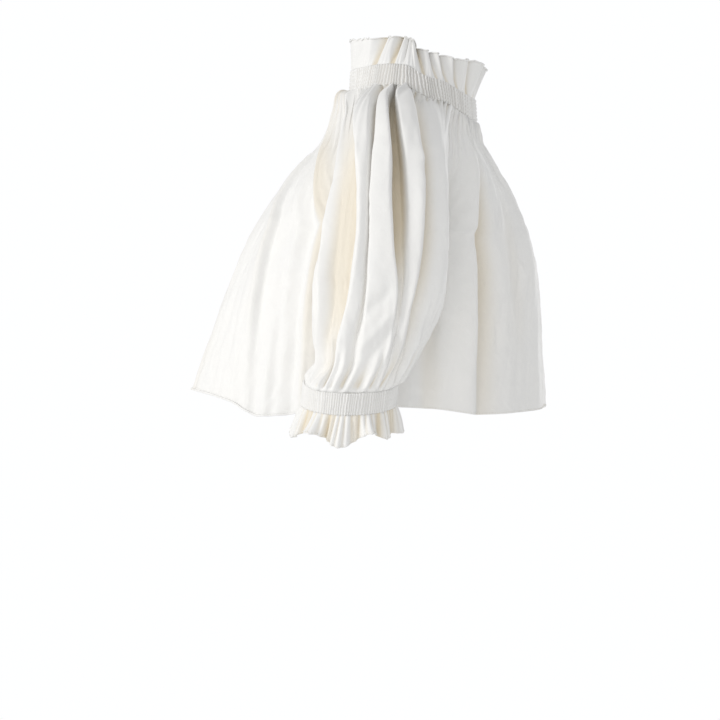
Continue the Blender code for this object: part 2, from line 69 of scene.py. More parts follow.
def eased(places: Sequence[float], values: Sequence[float], at: Grid | float) -> Grid:
    """Reads between the rows of a table, on a smooth curve that doesn't overshoot.

    Args:
        places: The table's places, rising.
        values: The value at each place.
        at: The places to read.

    Returns:
        The values at those places.
    """
    places = np.asarray(places, float)
    values = np.asarray(values, float)
    steps = np.diff(places)
    slopes = np.diff(values) / steps
    tangents = np.zeros(len(places))
    same_way = slopes[1:] * slopes[:-1] > 0
    harmonic = 2 * slopes[1:] * slopes[:-1] / np.where(same_way, slopes[1:] + slopes[:-1], 1)
    tangents[1:-1] = np.where(same_way, harmonic, 0)
    tangents[0], tangents[-1] = slopes[0], slopes[-1]
    at = np.clip(np.asarray(at, float), places[0], places[-1])
    row = np.clip(np.searchsorted(places, at, side="right") - 1, 0, len(steps) - 1)
    t = (at - places[row]) / steps[row]
    rise = values[row + 1] - values[row]
    first, last = tangents[row] * steps[row], tangents[row + 1] * steps[row]
    return values[row] + t * (first + t * (3 * rise - 2 * first - last + t * (first + last - 2 * rise)))


def smooth_step(start: float, end: float, at: Grid | float) -> Grid:
    """Rises from 0 at start to 1 at end."""
    t = np.clip((np.asarray(at, float) - start) / (end - start), 0, 1)
    return t * t * (3 - 2 * t)


def column(rows: Sequence[Sequence[float]], index: int) -> list[float]:
    """One column of a table of rows."""
    return [row[index] for row in rows]


def ripples(across: Grid, down: Grid, seed: int, count: int, longest: float, stretch: float) -> Grid:
    """Soft uneven ripples, from waves of many lengths and ways.

    Args:
        across: Places across the cloth, in millimetres.
        down: Places down the cloth, in millimetres.
        seed: Sets which ripples they are.
        count: How many waves are added up.
        longest: The longest wave across the cloth, in millimetres.
        stretch: How many times longer the ripples are down the cloth.

    Returns:
        Heights of about -1 to 1.
    """
    draw = np.random.default_rng(seed)
    total = np.zeros(np.broadcast(across, down).shape)
    for _ in range(count):
        length = longest * draw.uniform(0.35, 1.0)
        slant = draw.normal(0, 0.5)
        phase = draw.uniform(0, 2 * math.pi)
        total += np.sin(2 * math.pi * (across + slant * down / stretch) / length + phase)
        length = longest * stretch * draw.uniform(0.5, 1.2)
        total += np.sin(2 * math.pi * (down + 0.4 * slant * across) / length + phase * 1.7)
    return total / math.sqrt(2 * count) * 0.8


# ---------------------------------------------------------------- folds


@dataclass(frozen=True)
class FoldLine:
    """A crest or a valley that runs down a piece.

    The places and heights are read at the piece's stations. Heights are in millimetres out from
    the plain form, and lean carries the line's cloth sideways, towards growing places.
    """

    name: str
    places: tuple[float, ...]
    heights: tuple[float, ...]
    lean: float = 0.0


@dataclass(frozen=True)
class Crease:
    """A short crease at a place on a piece. Its sizes are in millimetres, its turn in degrees."""

    across: float
    down: float
    length: float
    width: float
    turn: float
    height: float


@dataclass(frozen=True)
class Folds:
    """The folds of one piece and how they are read."""

    stations: tuple[float, ...]
    lines: tuple[FoldLine, ...]
    creases: tuple[Crease, ...] = ()
    ring: float = 0.0

    def shifts(self, across: Grid, down: Grid) -> tuple[Grid, Grid]:
        """How far the folds lift the cloth and carry it sideways.

        Args:
            across: Places across the piece, one row for each of down.
            down: Places down the piece, one for each row.

        Returns:
            The lift and the sideways move at each point, in metres.
        """
        lift = np.zeros(across.shape)
        sideways = np.zeros(across.shape)
        for row, place in enumerate(down):
            at = [float(eased(self.stations, line.places, place)) for line in self.lines]
            high = [float(eased(self.stations, line.heights, place)) for line in self.lines]
            most = [max(abs(height) for height in line.heights) or 1.0 for line in self.lines]
            carry = [line.lean * abs(high[i]) / most[i] for i, line in enumerate(self.lines)]
            if self.ring:
                at = [at[-1] - self.ring] + at + [at[0] + self.ring]
                high = [high[-1]] + high + [high[0]]
                carry = [carry[-1]] + carry + [carry[0]]
            else:
                at, high, carry = [0.0] + at + [1.0], [0.0] + high + [0.0], [0.0] + carry + [0.0]
            for i in range(1, len(at)):
                at[i] = max(at[i], at[i - 1] + 1e-3)
            lift[row] = eased(at, high, across[row])
            sideways[row] = eased(at, carry, across[row])
        return lift * MM, sideways * MM

    def creased(self, across: Grid, down: Grid, width: float, length: float) -> Grid:
        """The lift of the short creases.

        Args:
            across: Places across the piece at each point.
            down: Places down the piece at each point.
            width: Millimetres in one unit across.
            length: Millimetres in one unit down.

        Returns:
            The lift at each point, in metres.
        """
        lift = np.zeros(np.broadcast(across, down).shape)
        for crease in self.creases:
            turn = math.radians(crease.turn)
            x = (across - crease.across) * width
            y = (down - crease.down) * length
            along = y * math.cos(turn) + x * math.sin(turn)
            aside = x * math.cos(turn) - y * math.sin(turn)
            ridge = np.exp(-((aside / crease.width) ** 2))
            lift += crease.height * ridge * np.exp(-((2 * along / crease.length) ** 4))
        return lift * MM

    def varied(self, seed: int, sway: float) -> "Folds":
        """The same kind of folds for the other side, at places and heights of their own.

        Args:
            seed: Sets how they differ.
            sway: The most that a line moves, in the piece's own units.

        Returns:
            The other side's folds.
        """
        draw = np.random.default_rng(seed)
        lines = []
        for line in self.lines:
            move, twist = draw.uniform(-sway, sway, 2)
            grow = draw.uniform(0.75, 1.1)
            share = np.linspace(-0.5, 0.5, len(line.places))
            places = tuple(float(p + move + twist * s) for p, s in zip(line.places, share))
            heights = tuple(float(h * grow) for h in line.heights)
            lines.append(FoldLine(line.name, places, heights, line.lean * 0.8))
        return Folds(self.stations, tuple(lines), self.creases, self.ring)


GATHER_LENGTHS = (0.35, 0.5, 0.8, 1.3)
HOLLOW_DEPTH, HOLLOW_WIDTH = 0.42, 2.2


def gathers(
    across: Grid, down: Grid, span: tuple[float, float], count: int, seed: int, height: float, reach: float
) -> Grid:
    """Uneven gathers that run out from a shirred band and die away, each in a shallow hollow.

    Args:
        across: Places across the piece at each point.
        down: How far each point is from the band, in millimetres.
        span: The first and last place that is gathered.
        count: How many gathers there are.
        seed: Sets which gathers they are.
        height: The most that a gather stands out, in metres.
        reach: The usual length of a gather, in millimetres.

    Returns:
        The lift at each point, in metres.
    """
    draw = np.random.default_rng(seed)
    lift = np.zeros(np.broadcast(across, down).shape)
    pitch = (span[1] - span[0]) / count
    for i in range(count):
        centre = span[0] + (i + 0.5 + draw.uniform(-0.3, 0.3)) * pitch
        length = reach * draw.choice(GATHER_LENGTHS)
        bend = draw.normal(0, 0.25) * pitch / reach
        wide = pitch * draw.uniform(0.24, 0.38)
        line = centre + bend * down
        aside = (across - line) / wide
        bell = np.exp(-(aside**2)) - HOLLOW_DEPTH * np.exp(-((aside / HOLLOW_WIDTH) ** 2))
        lift += height * draw.uniform(0.5, 1.0) * bell * np.exp(-((down / length) ** 1.6))
    return lift


# ---------------------------------------------------------------- the plain worn form


def directions(grid: Grid, closed: bool) -> tuple[Grid, Grid]:
    """Unit vectors across a grid's rows, and out from its surface.

    Args:
        grid: Rows of points. The rows of a closed grid are rings.
        closed: Whether its rows are rings.

    Returns:
        The vectors across and the vectors out.
    """
    if closed:
        across = np.roll(grid, -1, axis=1) - np.roll(grid, 1, axis=1)
    else:
        across = np.gradient(grid, axis=1)
    out = np.cross(np.gradient(grid, axis=0), across)
    out = out / np.maximum(np.linalg.norm(out, axis=2, keepdims=True), 1e-12)
    return across / np.linalg.norm(across, axis=2, keepdims=True), out


@dataclass(frozen=True)
class NeckForm:
    """The ring of the neck band, an ellipse seen from above that dips towards the back."""

    half_width: float = 107 * MM
    half_depth: float = 72 * MM
    centre_back: float = 2 * MM
    band_height: float = 26 * MM
    rows: tuple[tuple[float, ...], ...] = (
        (-90, 0.0090, 0.037, 0.000),
        (-55, 0.0070, 0.034, 0.012),
        (-30, 0.0075, 0.033, 0.024),
        (-8, 0.0050, 0.033, 0.029),
        (4, -0.0035, 0.036, 0.029),
        (13, -0.0090, 0.036, 0.026),
        (24, -0.0115, 0.034, 0.020),
        (35, -0.0155, 0.034, 0.012),
        (48, -0.0215, 0.038, 0.002),
        (65, -0.0260, 0.042, -0.007),
        (90, -0.0250, 0.036, -0.011),
    )

    def read(self, index: int, angle: Grid | float) -> Grid:
        """A column of the neck's table. Both sides of the neck are alike.

        Args:
            index: 1 for the band's middle height, 2 for the ruffle's rise, 3 for its lean inwards.
            angle: Angles round the neck, from the wearer's left towards the back.

        Returns:
            The values, in metres.
        """
        one_side = np.abs((np.asarray(angle, float) - 90) % 360 - 180) - 90
        return eased(column(self.rows, 0), column(self.rows, index), one_side)

    def outward(self, angle: Grid) -> tuple[Grid, Grid]:
        """The ellipse's outward direction, seen from above.

        Args:
            angle: Angles round the neck.

        Returns:
            Its X and its Y at each angle.
        """
        turn = np.radians(angle)
        x, y = np.cos(turn) / self.half_width, np.sin(turn) / self.half_depth
        size = np.hypot(x, y)
        return x / size, y / size

    def point(self, angle: Grid, up: Grid | float, out: Grid | float) -> Grid:
        """Points on the band.

        Args:
            angle: Angles round the neck.
            up: How far up from the band's middle, in metres.
            out: How far out from its inner face, in metres.

        Returns:
            The points.
        """
        turn = np.radians(angle)
        lean = np.radians(14 - 11 * np.sin(turn) ** 2)
        out_x, out_y = self.outward(angle)
        level = out * np.cos(lean) - up * np.sin(lean)
        x = self.half_width * np.cos(turn) + level * out_x
        y = self.centre_back + self.half_depth * np.sin(turn) + level * out_y
        z = self.read(1, angle) + up * np.cos(lean) + out * np.sin(lean)
        return np.stack(np.broadcast_arrays(x, y, z), axis=-1)


@dataclass(frozen=True)
class BodyForm:
    """The flared body, from the neck band at 0 to the hem at 1."""

    neck: NeckForm = NeckForm()
    tuck: float = 1.6 * MM
    underarm: float = 0.43
    front_puff: float = 5 * MM
    raglan_front: float = -66.0
    raglan_back: float = 38.0
    # down, half width, front, back
    rows: tuple[tuple[float, ...], ...] = (
        (0.00, 0.110, 0.0735, 0.0755),
        (0.03, 0.115, 0.088, 0.078),
        (0.08, 0.120, 0.092, 0.083),
        (0.17, 0.129, 0.107, 0.101),
        (0.28, 0.139, 0.142, 0.121),
        (0.42, 0.146, 0.178, 0.142),
        (0.55, 0.148, 0.202, 0.151),
        (0.75, 0.149, 0.229, 0.156),
        (1.00, 0.150, 0.258, 0.161),
    )
    # angle, height
    hem: tuple[tuple[float, float], ...] = (
        (-90, -0.359), (-70, -0.362), (-52, -0.371), (-38, -0.388), (-22, -0.384), (0, -0.376),
        (20, -0.379), (37, -0.386), (62, -0.383), (90, -0.378), (118, -0.385), (143, -0.384),
        (160, -0.377), (182, -0.376), (205, -0.386), (222, -0.385), (240, -0.368), (270, -0.359),
    )

    def point(self, down: Grid | float, angle: Grid | float) -> Grid:
        """Points on the plain body.

        Args:
            down: Places down it, from the neck band at 0 to the hem at 1.
            angle: Angles round it.

        Returns:
            The points.
        """
        turn = np.radians(angle)
        half_width, front, back = (eased(column(self.rows, 0), column(self.rows, i), down) for i in (1, 2, 3))
        x = half_width * np.cos(turn)
        y = (back - front) / 2 + (front + back) / 2 * np.sin(turn)
        top = self.neck.point(angle, -self.neck.band_height / 2 + self.tuck, 1.1 * MM)[..., 2]
        wrapped = (np.asarray(angle, float) + 90) % 360 - 90
        low = eased(column(self.hem, 0), column(self.hem, 1), wrapped)
        z = top + down * (low - top)
        puff = smooth_step(0, 0.03, down) * (1 - smooth_step(0.03, 0.16, down))
        z = z + self.front_puff * puff * np.clip(-np.sin(turn), 0, 1) ** 2
        return np.stack(np.broadcast_arrays(x, y, z), axis=-1)

    def raglan(self, down: Grid | float, at_neck: float) -> Grid:
        """Angle of a left raglan seam, and of the straight side seam below the underarm.

        Args:
            down: Places down the body.
            at_neck: The seam's angle at the neck band.

        Returns:
            The angles.
        """
        left = np.clip(1 - np.asarray(down, float) / self.underarm, 0, 1) ** 0.9
        return at_neck * left


@dataclass(frozen=True)
class SleeveForm:
    """A full raglan sleeve, from the armhole at 0 to the cuff band at 1."""

    body: BodyForm = BodyForm()
    neck_edge: float = 75.0
    squareness: float = 2.4
    seam_gap: float = 0.5 * MM
    seam_puff: float = 10 * MM
    neck_drop: float = 4 * MM
    underarm_tip: float = 0.426
    # along, outer x, outer z, inner x, inner z, front, back
    rows: tuple[tuple[float, ...], ...] = (
        (0.00, 0.114, -0.010, 0.151, -0.176, -0.078, 0.044),
        (0.07, 0.140, -0.018, 0.158, -0.184, -0.084, 0.036),
        (0.16, 0.180, -0.029, 0.165, -0.192, -0.087, 0.034),
        (0.26, 0.222, -0.055, 0.170, -0.202, -0.090, 0.035),
        (0.38, 0.254, -0.102, 0.173, -0.217, -0.096, 0.036),
        (0.52, 0.275, -0.162, 0.176, -0.240, -0.105, 0.036),
        (0.68, 0.286, -0.228, 0.179, -0.272, -0.112, 0.031),
        (0.82, 0.287, -0.284, 0.181, -0.305, -0.113, 0.016),
        (0.92, 0.281, -0.324, 0.182, -0.326, -0.110, -0.001),
        (1.00, 0.273, -0.360, 0.180, -0.337, -0.122, -0.020),
    )

    def seam_points(self, down: Grid, at_neck: float) -> Grid:
        """Points on the sleeve's side of a left raglan seam.

        Args:
            down: Places down the body.
            at_neck: The seam's angle at the neck band.

        Returns:
            The points, half a seam's gap from the body's edge.
        """
        body = self.body
        angle = body.raglan(down, at_neck)
        seam = body.point(down, angle)
        along = body.point(down + 0.01, body.raglan(down + 0.01, at_neck)) - seam
        around = body.point(down, angle + 0.5) - body.point(down, angle - 0.5)
        out = np.cross(around, np.array([0, 0, -1.0]))
        towards = np.cross(out, along)
        towards = towards / np.linalg.norm(towards, axis=1, keepdims=True)
        backwards = np.sign(np.sum(towards * around, axis=1, keepdims=True))
        return seam - self.seam_gap * math.copysign(1, at_neck) * towards * backwards

    def armhole(self, angle: Grid) -> Grid:
        """The first ring: the gathered neck edge on top, then the two raglan seams.

        Args:
            angle: Angles round the sleeve.

        Returns:
            The points.
        """
        body = self.body
        turned = (angle + 180) % 360 - 180
        share = (turned + self.neck_edge) / (2 * self.neck_edge)
        inset = math.degrees(self.seam_gap / body.neck.half_width)
        first, last = body.raglan_front + inset, body.raglan_back - inset
        ring = body.point(0.0, first + (last - first) * np.clip(share, 0, 1))
        down = body.underarm * (np.abs(turned) - self.neck_edge) / (180 - self.neck_edge)
        rows = np.linspace(0, self.underarm_tip, 60)
        tip = body.point(self.underarm_tip, 0.0)
        for at_neck in (body.raglan_front, body.raglan_back):
            seam = np.concatenate([self.seam_points(rows[:-1], at_neck), tip[None]])
            on_seam = (down > 0) & (np.sign(turned) == np.sign(at_neck))
            for axis in range(3):
                ring[on_seam, axis] = np.interp(down[on_seam], rows, seam[:, axis])
        return ring

    def ring(self, along: Grid, angle: Grid) -> Grid:
        """Rings of the sleeve away from the armhole, between its outer and inner lines.

        Args:
            along: Places along the sleeve, a column of them.
            angle: Angles round it, a row of them.

        Returns:
            The points.
        """
        outer_x, outer_z, inner_x, inner_z, front, back = (
            eased(column(self.rows, 0), column(self.rows, i), along) for i in range(1, 7)
        )
        turn = np.radians(angle)
        power = 2 / self.squareness
        out = np.sign(np.cos(turn)) * np.abs(np.cos(turn)) ** power
        side = np.sign(np.sin(turn)) * np.abs(np.sin(turn)) ** power
        x = (outer_x + inner_x) / 2 + (outer_x - inner_x) / 2 * out
        z = (outer_z + inner_z) / 2 + (outer_z - inner_z) / 2 * out
        y = (front + back) / 2 + (back - front) / 2 * side
        return np.stack(np.broadcast_arrays(x, y, z), axis=-1)

    def surface(self, along: Grid, angle: Grid) -> tuple[Grid, Grid]:
        """The plain sleeve.

        Args:
            along: Places along the sleeve, a column of them.
            angle: Angles round the sleeve, from its outer side towards the back.

        Returns:
            The points, and how much each point takes part in the gathered neck edge.
        """
        leaving = smooth_step(0, 0.30, along)
        grid = self.armhole(angle)[None] * (1 - leaving)[..., None]
        grid = grid + self.ring(along, angle[None, :]) * leaving[..., None]
        turned = np.abs((angle + 180) % 360 - 180)[None, :]
        on_neck = 1 - smooth_step(self.neck_edge - 10, self.neck_edge, turned)
        off_corner = 1 - smooth_step(self.neck_edge - 30, self.neck_edge - 5, turned)
        grid[..., 0] += np.sqrt(4 * leaving * (1 - leaving)) * self.seam_puff * (1 - on_neck)
        below_band = smooth_step(0, 0.04, along) * (1 - smooth_step(0.08, 0.3, along))
        grid[..., 2] -= below_band * self.neck_drop * off_corner
        return grid, on_neck


@dataclass(frozen=True)
class CuffForm:
    """The cuff's tube below the sleeve, which leans a little."""

    sleeve: SleeveForm = SleeveForm()
    tilt: float = math.radians(14)
    swing: float = 0.11
    band_height: float = 25 * MM

    def point(self, angle: Grid, down: Grid | float, out: Grid | float) -> Grid:
        """Points on the left cuff.

        Args:
            angle: Angles round it.
            down: How far down the arm from its top edge, in metres.
            out: How far out from its wall, in metres.

        Returns:
            The points.
        """
        _, outer_x, outer_z, inner_x, inner_z, front, back = self.sleeve.rows[-1]
        turn = np.radians(angle)
        side = ((outer_x - inner_x) / 2 / math.cos(self.tilt) + out) * np.cos(turn)
        fore = ((back - front) / 2 + out) * np.sin(turn)
        x = (outer_x + inner_x) / 2 + side * math.cos(self.tilt) - down * math.sin(self.tilt)
        y = (front + back) / 2 + fore - down * self.swing
        z = (outer_z + inner_z) / 2 - side * math.sin(self.tilt) - down * math.cos(self.tilt)
        return np.stack(np.broadcast_arrays(x, y, z), axis=-1)


# ---------------------------------------------------------------- fold tables

BODY_STATIONS = (0.05, 0.15, 0.28, 0.42, 0.56, 0.70, 0.85, 1.0)

# Places across a panel go from 0 at the left seam to 1 at the right seam.
FRONT_FOLDS = Folds(
    BODY_STATIONS,
    (
        FoldLine("behind_sleeve", (.26, .22, .158, .158, .155, .146, .132, .122), (-3, -7, -12, -12, -11, -9, -7, -4)),
        FoldLine("side_crest", (.40, .35, .215, .215, .200, .183, .164, .152), (1, 4, 8, 8, 7, 6, 5, 4), -2),
        FoldLine("side_dip", (.43, .41, .32, .255, .230, .208, .188, .175), (0, 1, 2, 1, 1, 1, 1, 1)),
        FoldLine("middle_panel", (.44, .42, .345, .285, .252, .225, .203, .188), (1, 2, 4, 5, 4, 3, 2, 2)),
        FoldLine("low_valley", (.45, .43, .352, .305, .270, .242, .218, .202), (1, 2, 4, 5, 4, 2, 0, -1)),
        FoldLine("long_crest", (.46, .44, .370, .332, .300, .271, .247, .224), (1, 2, 4, 6, 7, 6, 5, 5), 4),
        FoldLine("long_valley", (.475, .458, .395, .354, .325, .297, .272, .25), (0, -1, -4, -5, -4, -3, -1, 1)),
        FoldLine("front_flat", (.482, .468, .415, .37, .34, .315, .29, .27), (0, 0, -1, -1, -2, -2, 0, 1)),
        FoldLine("front_left", (.49, .48, .45, .41, .39, .38, .37, .36), (1, 1, 1, 1, 1, 1, 1, 2)),
        FoldLine("front_dip", (.54, .53, .50, .47, .46, .45, .45, .45), (-1, -2, -2, -2, -3, -3, -4, -5)),
        FoldLine("front_right", (.58, .57, .56, .54, .54, .54, .54, .54), (1, 4, 6, 7, 7, 7, 6, 6), -3),
        FoldLine("right_valley", (.62, .61, .61, .60, .60, .60, .60, .60), (-1, -4, -8, -10, -10, -9, -7, -5)),
        FoldLine("right_crest", (.66, .66, .66, .67, .68, .685, .69, .70), (1, 5, 9, 10, 10, 9, 8, 8), -6),
        FoldLine("far_valley", (.71, .72, .73, .74, .75, .76, .77, .775), (-1, -5, -11, -12, -11, -9, -6, -4)),
        FoldLine("far_crest", (.76, .77, .79, .81, .825, .835, .845, .85), (1, 4, 8, 9, 9, 8, 7, 6), -5),
        FoldLine("far_dip", (.82, .83, .85, .87, .885, .895, .905, .91), (-1, -2, -4, -5, -5, -4, -3, -3)),
    ),
    (
        Crease(0.30, 0.88, 60, 4.0, -12, -1.6),
        Crease(0.33, 0.86, 45, 3.0, -10, 1.4),
        Crease(0.36, 0.88, 55, 3.5, -8, -1.5),
        Crease(0.39, 0.90, 40, 3.0, -5, 1.2),
        Crease(0.42, 0.92, 40, 3.5, -3, -1.3),
        Crease(0.24, 0.62, 26, 5.0, 50, 0.9),
        Crease(0.20, 0.68, 30, 5.0, 62, -0.9),
        Crease(0.33, 0.31, 26, 4.0, 18, -1.2),
        Crease(0.36, 0.27, 22, 3.0, -15, 1.0),
        Crease(0.19, 0.95, 26, 4.0, 30, -1.4),
        Crease(0.14, 0.97, 30, 4.0, 38, 1.4),
        Crease(0.62, 0.62, 40, 6.0, 20, 1.0),
        Crease(0.55, 0.45, 36, 6.0, -14, -0.9),
        Crease(0.72, 0.84, 50, 5.0, 9, 1.2),
    ),
)
BACK_FOLDS = Folds(
    BODY_STATIONS,
    (
        FoldLine("hem_ridge", (.02, .02, .025, .03, .04, .045, .05, .062), (0, 0, 0, 0, 1, 3, 4, 5)),
        FoldLine("left_valley", (.035, .04, .05, .078, .088, .090, .094, .098), (-1, -2, -4, -8, -9, -8, -7, -6)),
        FoldLine("panel_edge", (.07, .075, .085, .105, .115, .128, .142, .148), (0, 0, 1, 1, 1, 2, 3, 3)),
        FoldLine("overlap_crest", (.135, .132, .130, .150, .158, .163, .168, .170), (3, 7, 10, 12, 12, 12, 10, 9), 8),
        FoldLine(
            "overlap_valley", (.195, .185, .178, .193, .200, .204, .207, .209), (-2, -7, -13, -15, -14, -12, -10, -8)
        ),
        FoldLine("shade_rise", (.27, .26, .255, .26, .268, .27, .27, .27), (1, 1, -1, -2, -2, -2, -2, -2)),
        FoldLine("shade_dip", (.36, .34, .33, .32, .32, .325, .33, .33), (-1, -2, -3, -5, -5, -4, -2, -1)),
        FoldLine("back_left", (.44, .43, .42, .40, .395, .39, .385, .38), (1, 3, 4, 4, 4, 3, 3, 3)),
        FoldLine("middle_dip", (.50, .49, .49, .48, .475, .475, .475, .475), (-1, -2, -4, -5, -5, -5, -4, -4)),
        FoldLine("middle_crest", (.55, .55, .55, .555, .56, .56, .56, .565), (1, 4, 6, 6, 6, 6, 6, 6), 3),
        FoldLine("right_valley", (.61, .61, .61, .61, .61, .61, .61, .61), (-1, -5, -9, -9, -9, -8, -7, -6)),
        FoldLine("right_crest", (.67, .67, .67, .67, .67, .67, .67, .67), (1, 5, 9, 10, 10, 10, 9, 8), -4),
        FoldLine("far_valley", (.73, .73, .73, .73, .735, .74, .74, .745), (-1, -6, -10, -11, -10, -9, -7, -6)),
        FoldLine("far_crest", (.80, .80, .80, .805, .81, .815, .82, .82), (2, 5, 9, 10, 10, 9, 8, 7), -6),
        FoldLine("far_dip", (.87, .87, .87, .875, .88, .885, .89, .89), (-1, -3, -6, -7, -7, -6, -5, -4)),
    ),
    (
        Crease(0.250, 0.74, 42, 3.0, 4, -1.4),
        Crease(0.285, 0.70, 34, 3.0, -6, -1.2),
        Crease(0.300, 0.66, 26, 4.0, 12, 1.2),
        Crease(0.330, 0.58, 30, 4.0, -18, -1.2),
        Crease(0.350, 0.52, 24, 4.0, 24, 1.2),
        Crease(0.250, 0.92, 34, 3.0, -20, -1.0),
        Crease(0.165, 0.47, 30, 3.5, 35, -1.1),
        Crease(0.150, 0.42, 24, 3.0, -40, 1.0),
        Crease(0.175, 0.84, 30, 4.0, -25, -0.9),
        Crease(0.520, 0.70, 46, 6.0, 14, 1.0),
        Crease(0.640, 0.48, 40, 5.0, -12, -1.0),
        Crease(0.770, 0.72, 44, 5.0, 10, 1.1),
    ),
)

SLEEVE_STATIONS = (0.04, 0.15, 0.30, 0.37, 0.46, 0.60, 0.75, 0.90)

# Places round a sleeve are in degrees from its outer side, towards the back.
LEFT_SLEEVE_FOLDS = Folds(
    SLEEVE_STATIONS,
    (
        FoldLine("front_edge", (-104, -102, -98, -96, -93, -90, -90, -98), (0, 0, 0, 0, 0, 1, 1, 1)),
        FoldLine("front_dip", (-98, -94, -91, -88, -83, -77, -75, -86), (-2, -1, -1, -2, -4, -8, -8, -4)),
        FoldLine("narrow_crest", (-92, -88, -82, -77, -71, -62, -57, -70), (0, 0, 0, 1, 2, 3, 3, 2), -3),
        FoldLine("valley_left", (-84, -78, -71, -67, -60, -50, -47, -59), (-1, -5, -11, -12, -13, -13, -12, -7)),
        FoldLine("valley_right", (-72, -58, -42, -37, -30, -25, -28, -41), (-1, -4, -11, -13, -14, -14, -13, -7)),
        FoldLine("fore_crest", (-56, -44, -27, -22, -17, -14, -18, -27), (1, 3, 5, 6, 6, 5, 4, 3), -3),
        FoldLine("fore_flat", (-26, -24, -18, -17, -14, -11, -11, -17), (3, 4, 4, 3, 2, 1, 1, 0)),
        FoldLine("fore_valley", (-20, -19, -14, -12.5, -11, -8.5, -8, -12), (-7, -10, -10, -8, -6, -6, -6, -4)),
        FoldLine("inner_left", (-14, -13, -9, -10, -9.5, -6.5, -4.5, -2), (2, 3, 4, 5, 5, 4, 3, 2), -2),
        FoldLine("inner_right", (-10, -10, -4, -2, -1, 3, 12, 17), (4, 6, 8, 8, 8, 7, 4, 1), 6),
        FoldLine("dark_left", (-4, -3, 1, 3, 4, 8, 17, 21), (-10, -18, -26, -28, -26, -18, -5, -2)),
        FoldLine("dark_right", (-1, 0, 7, 10, 13, 16, 21, 25), (-10, -18, -26, -28, -24, -14, -6, -3)),
        FoldLine("main_left", (3, 4, 11, 15, 18, 21, 24, 28), (4, 4, 4, 3, 1, -2, -3, 0), -3),
        FoldLine("main_crest", (12, 13, 21, 25, 28, 28, 27, 32), (4, 5, 6, 7, 7, 6, 5, 3), 3),
        FoldLine("back_valley", (22, 25, 35, 37, 39, 40, 37, 45), (-5, -9, -13, -14, -14, -13, -10, -6)),
        FoldLine("back_edge", (44, 48, 60, 64, 66, 67, 64, 64), (2, 4, 5, 5, 5, 5, 4, 2)),
        FoldLine("under_dip", (84, 86, 90, 91, 92, 92, 90, 90), (0, -2, -4, -5, -5, -5, -4, -2)),
        FoldLine("under_crest", (108, 110, 112, 113, 114, 114, 112, 112), (0, 2, 4, 5, 5, 5, 4, 2)),
        FoldLine("inner_dip", (140,) * 8, (0, -1, -3, -4, -4, -4, -3, -1)),
        FoldLine("inner_crest", (172, 172, 170, 170, 170, 172, 174, 174), (0, 1, 2, 2, 2, 2, 2, 1)),
        FoldLine("low_dip", (204, 204, 205, 206, 206, 206, 206, 206), (0, -1, -3, -4, -4, -4, -3, -1)),
        FoldLine("low_crest", (232, 232, 233, 234, 234, 234, 234, 234), (0, 1, 3, 4, 4, 4, 3, 1)),
    ),
    (
        Crease(-4, 0.80, 60, 5.0, -28, -2.4),
        Crease(4, 0.84, 46, 4.0, -30, 2.0),
        Crease(12, 0.86, 50, 4.0, -26, -2.2),
        Crease(20, 0.86, 40, 4.0, -14, 2.0),
        Crease(27, 0.90, 36, 3.5, 10, -1.8),
        Crease(-18, 0.93, 32, 3.5, 8, 1.8),
        Crease(-24, 0.94, 26, 3.5, 4, -1.6),
        Crease(40, 0.86, 44, 4.0, 24, 2.0),
        Crease(46, 0.88, 40, 4.5, 28, -2.4),
        Crease(54, 0.84, 40, 4.0, 30, 1.6),
        Crease(34, 0.38, 26, 4.0, 50, 2.4),
        Crease(36, 0.42, 24, 4.0, 52, -2.2),
        Crease(-40, 0.86, 30, 4.0, -14, 1.6),
        Crease(-46, 0.90, 28, 4.0, 8, -1.6),
        Crease(-35, 0.20, 40, 9.0, 12, 0.8),
    ),
    360.0,
)


# ---------------------------------------------------------------- making meshes


def mesh_object(name: str, points: Grid, faces: Sequence[Sequence[int]]) -> bpy.types.Object:
    """Links a smooth mesh of its own as a new object at the origin.

    Args:
        name: The object's name.
        points: Its points, one a row.
        faces: The points of each face.

    Returns:
        The object.
    """
    mesh = bpy.data.meshes.new(name)
    mesh.from_pydata([tuple(map(float, p)) for p in points], [], [tuple(map(int, f)) for f in faces])
    mesh.shade_smooth()
    obj = bpy.data.objects.new(name, mesh)
    bpy.context.scene.collection.objects.link(obj)
    return obj


def grid_faces(rows: int, columns: int, closed: bool) -> Grid:
    """The four corners of each face of a grid that looks outwards.

    Args:
        rows: How many rows of points it has.
        columns: How many points each row has.
        closed: Whether its rows are rings.

    Returns:
        One row of four points for each face.
    """
    last = columns if closed else columns - 1
    row, col = np.meshgrid(np.arange(rows - 1), np.arange(last), indexing="ij")
    after = (col + 1) % columns
    corners = (row * columns + col, (row + 1) * columns + col, (row + 1) * columns + after, row * columns + after)
    return np.stack(corners, axis=-1).reshape(-1, 4)


def paint(obj: bpy.types.Object, name: str, values: Grid) -> None:
    """Keeps one number at each point of a mesh, for its finish to read."""
    layer = obj.data.attributes.new(name, "FLOAT", "POINT")
    layer.data.foreach_set("value", np.ascontiguousarray(values, np.float32).ravel())


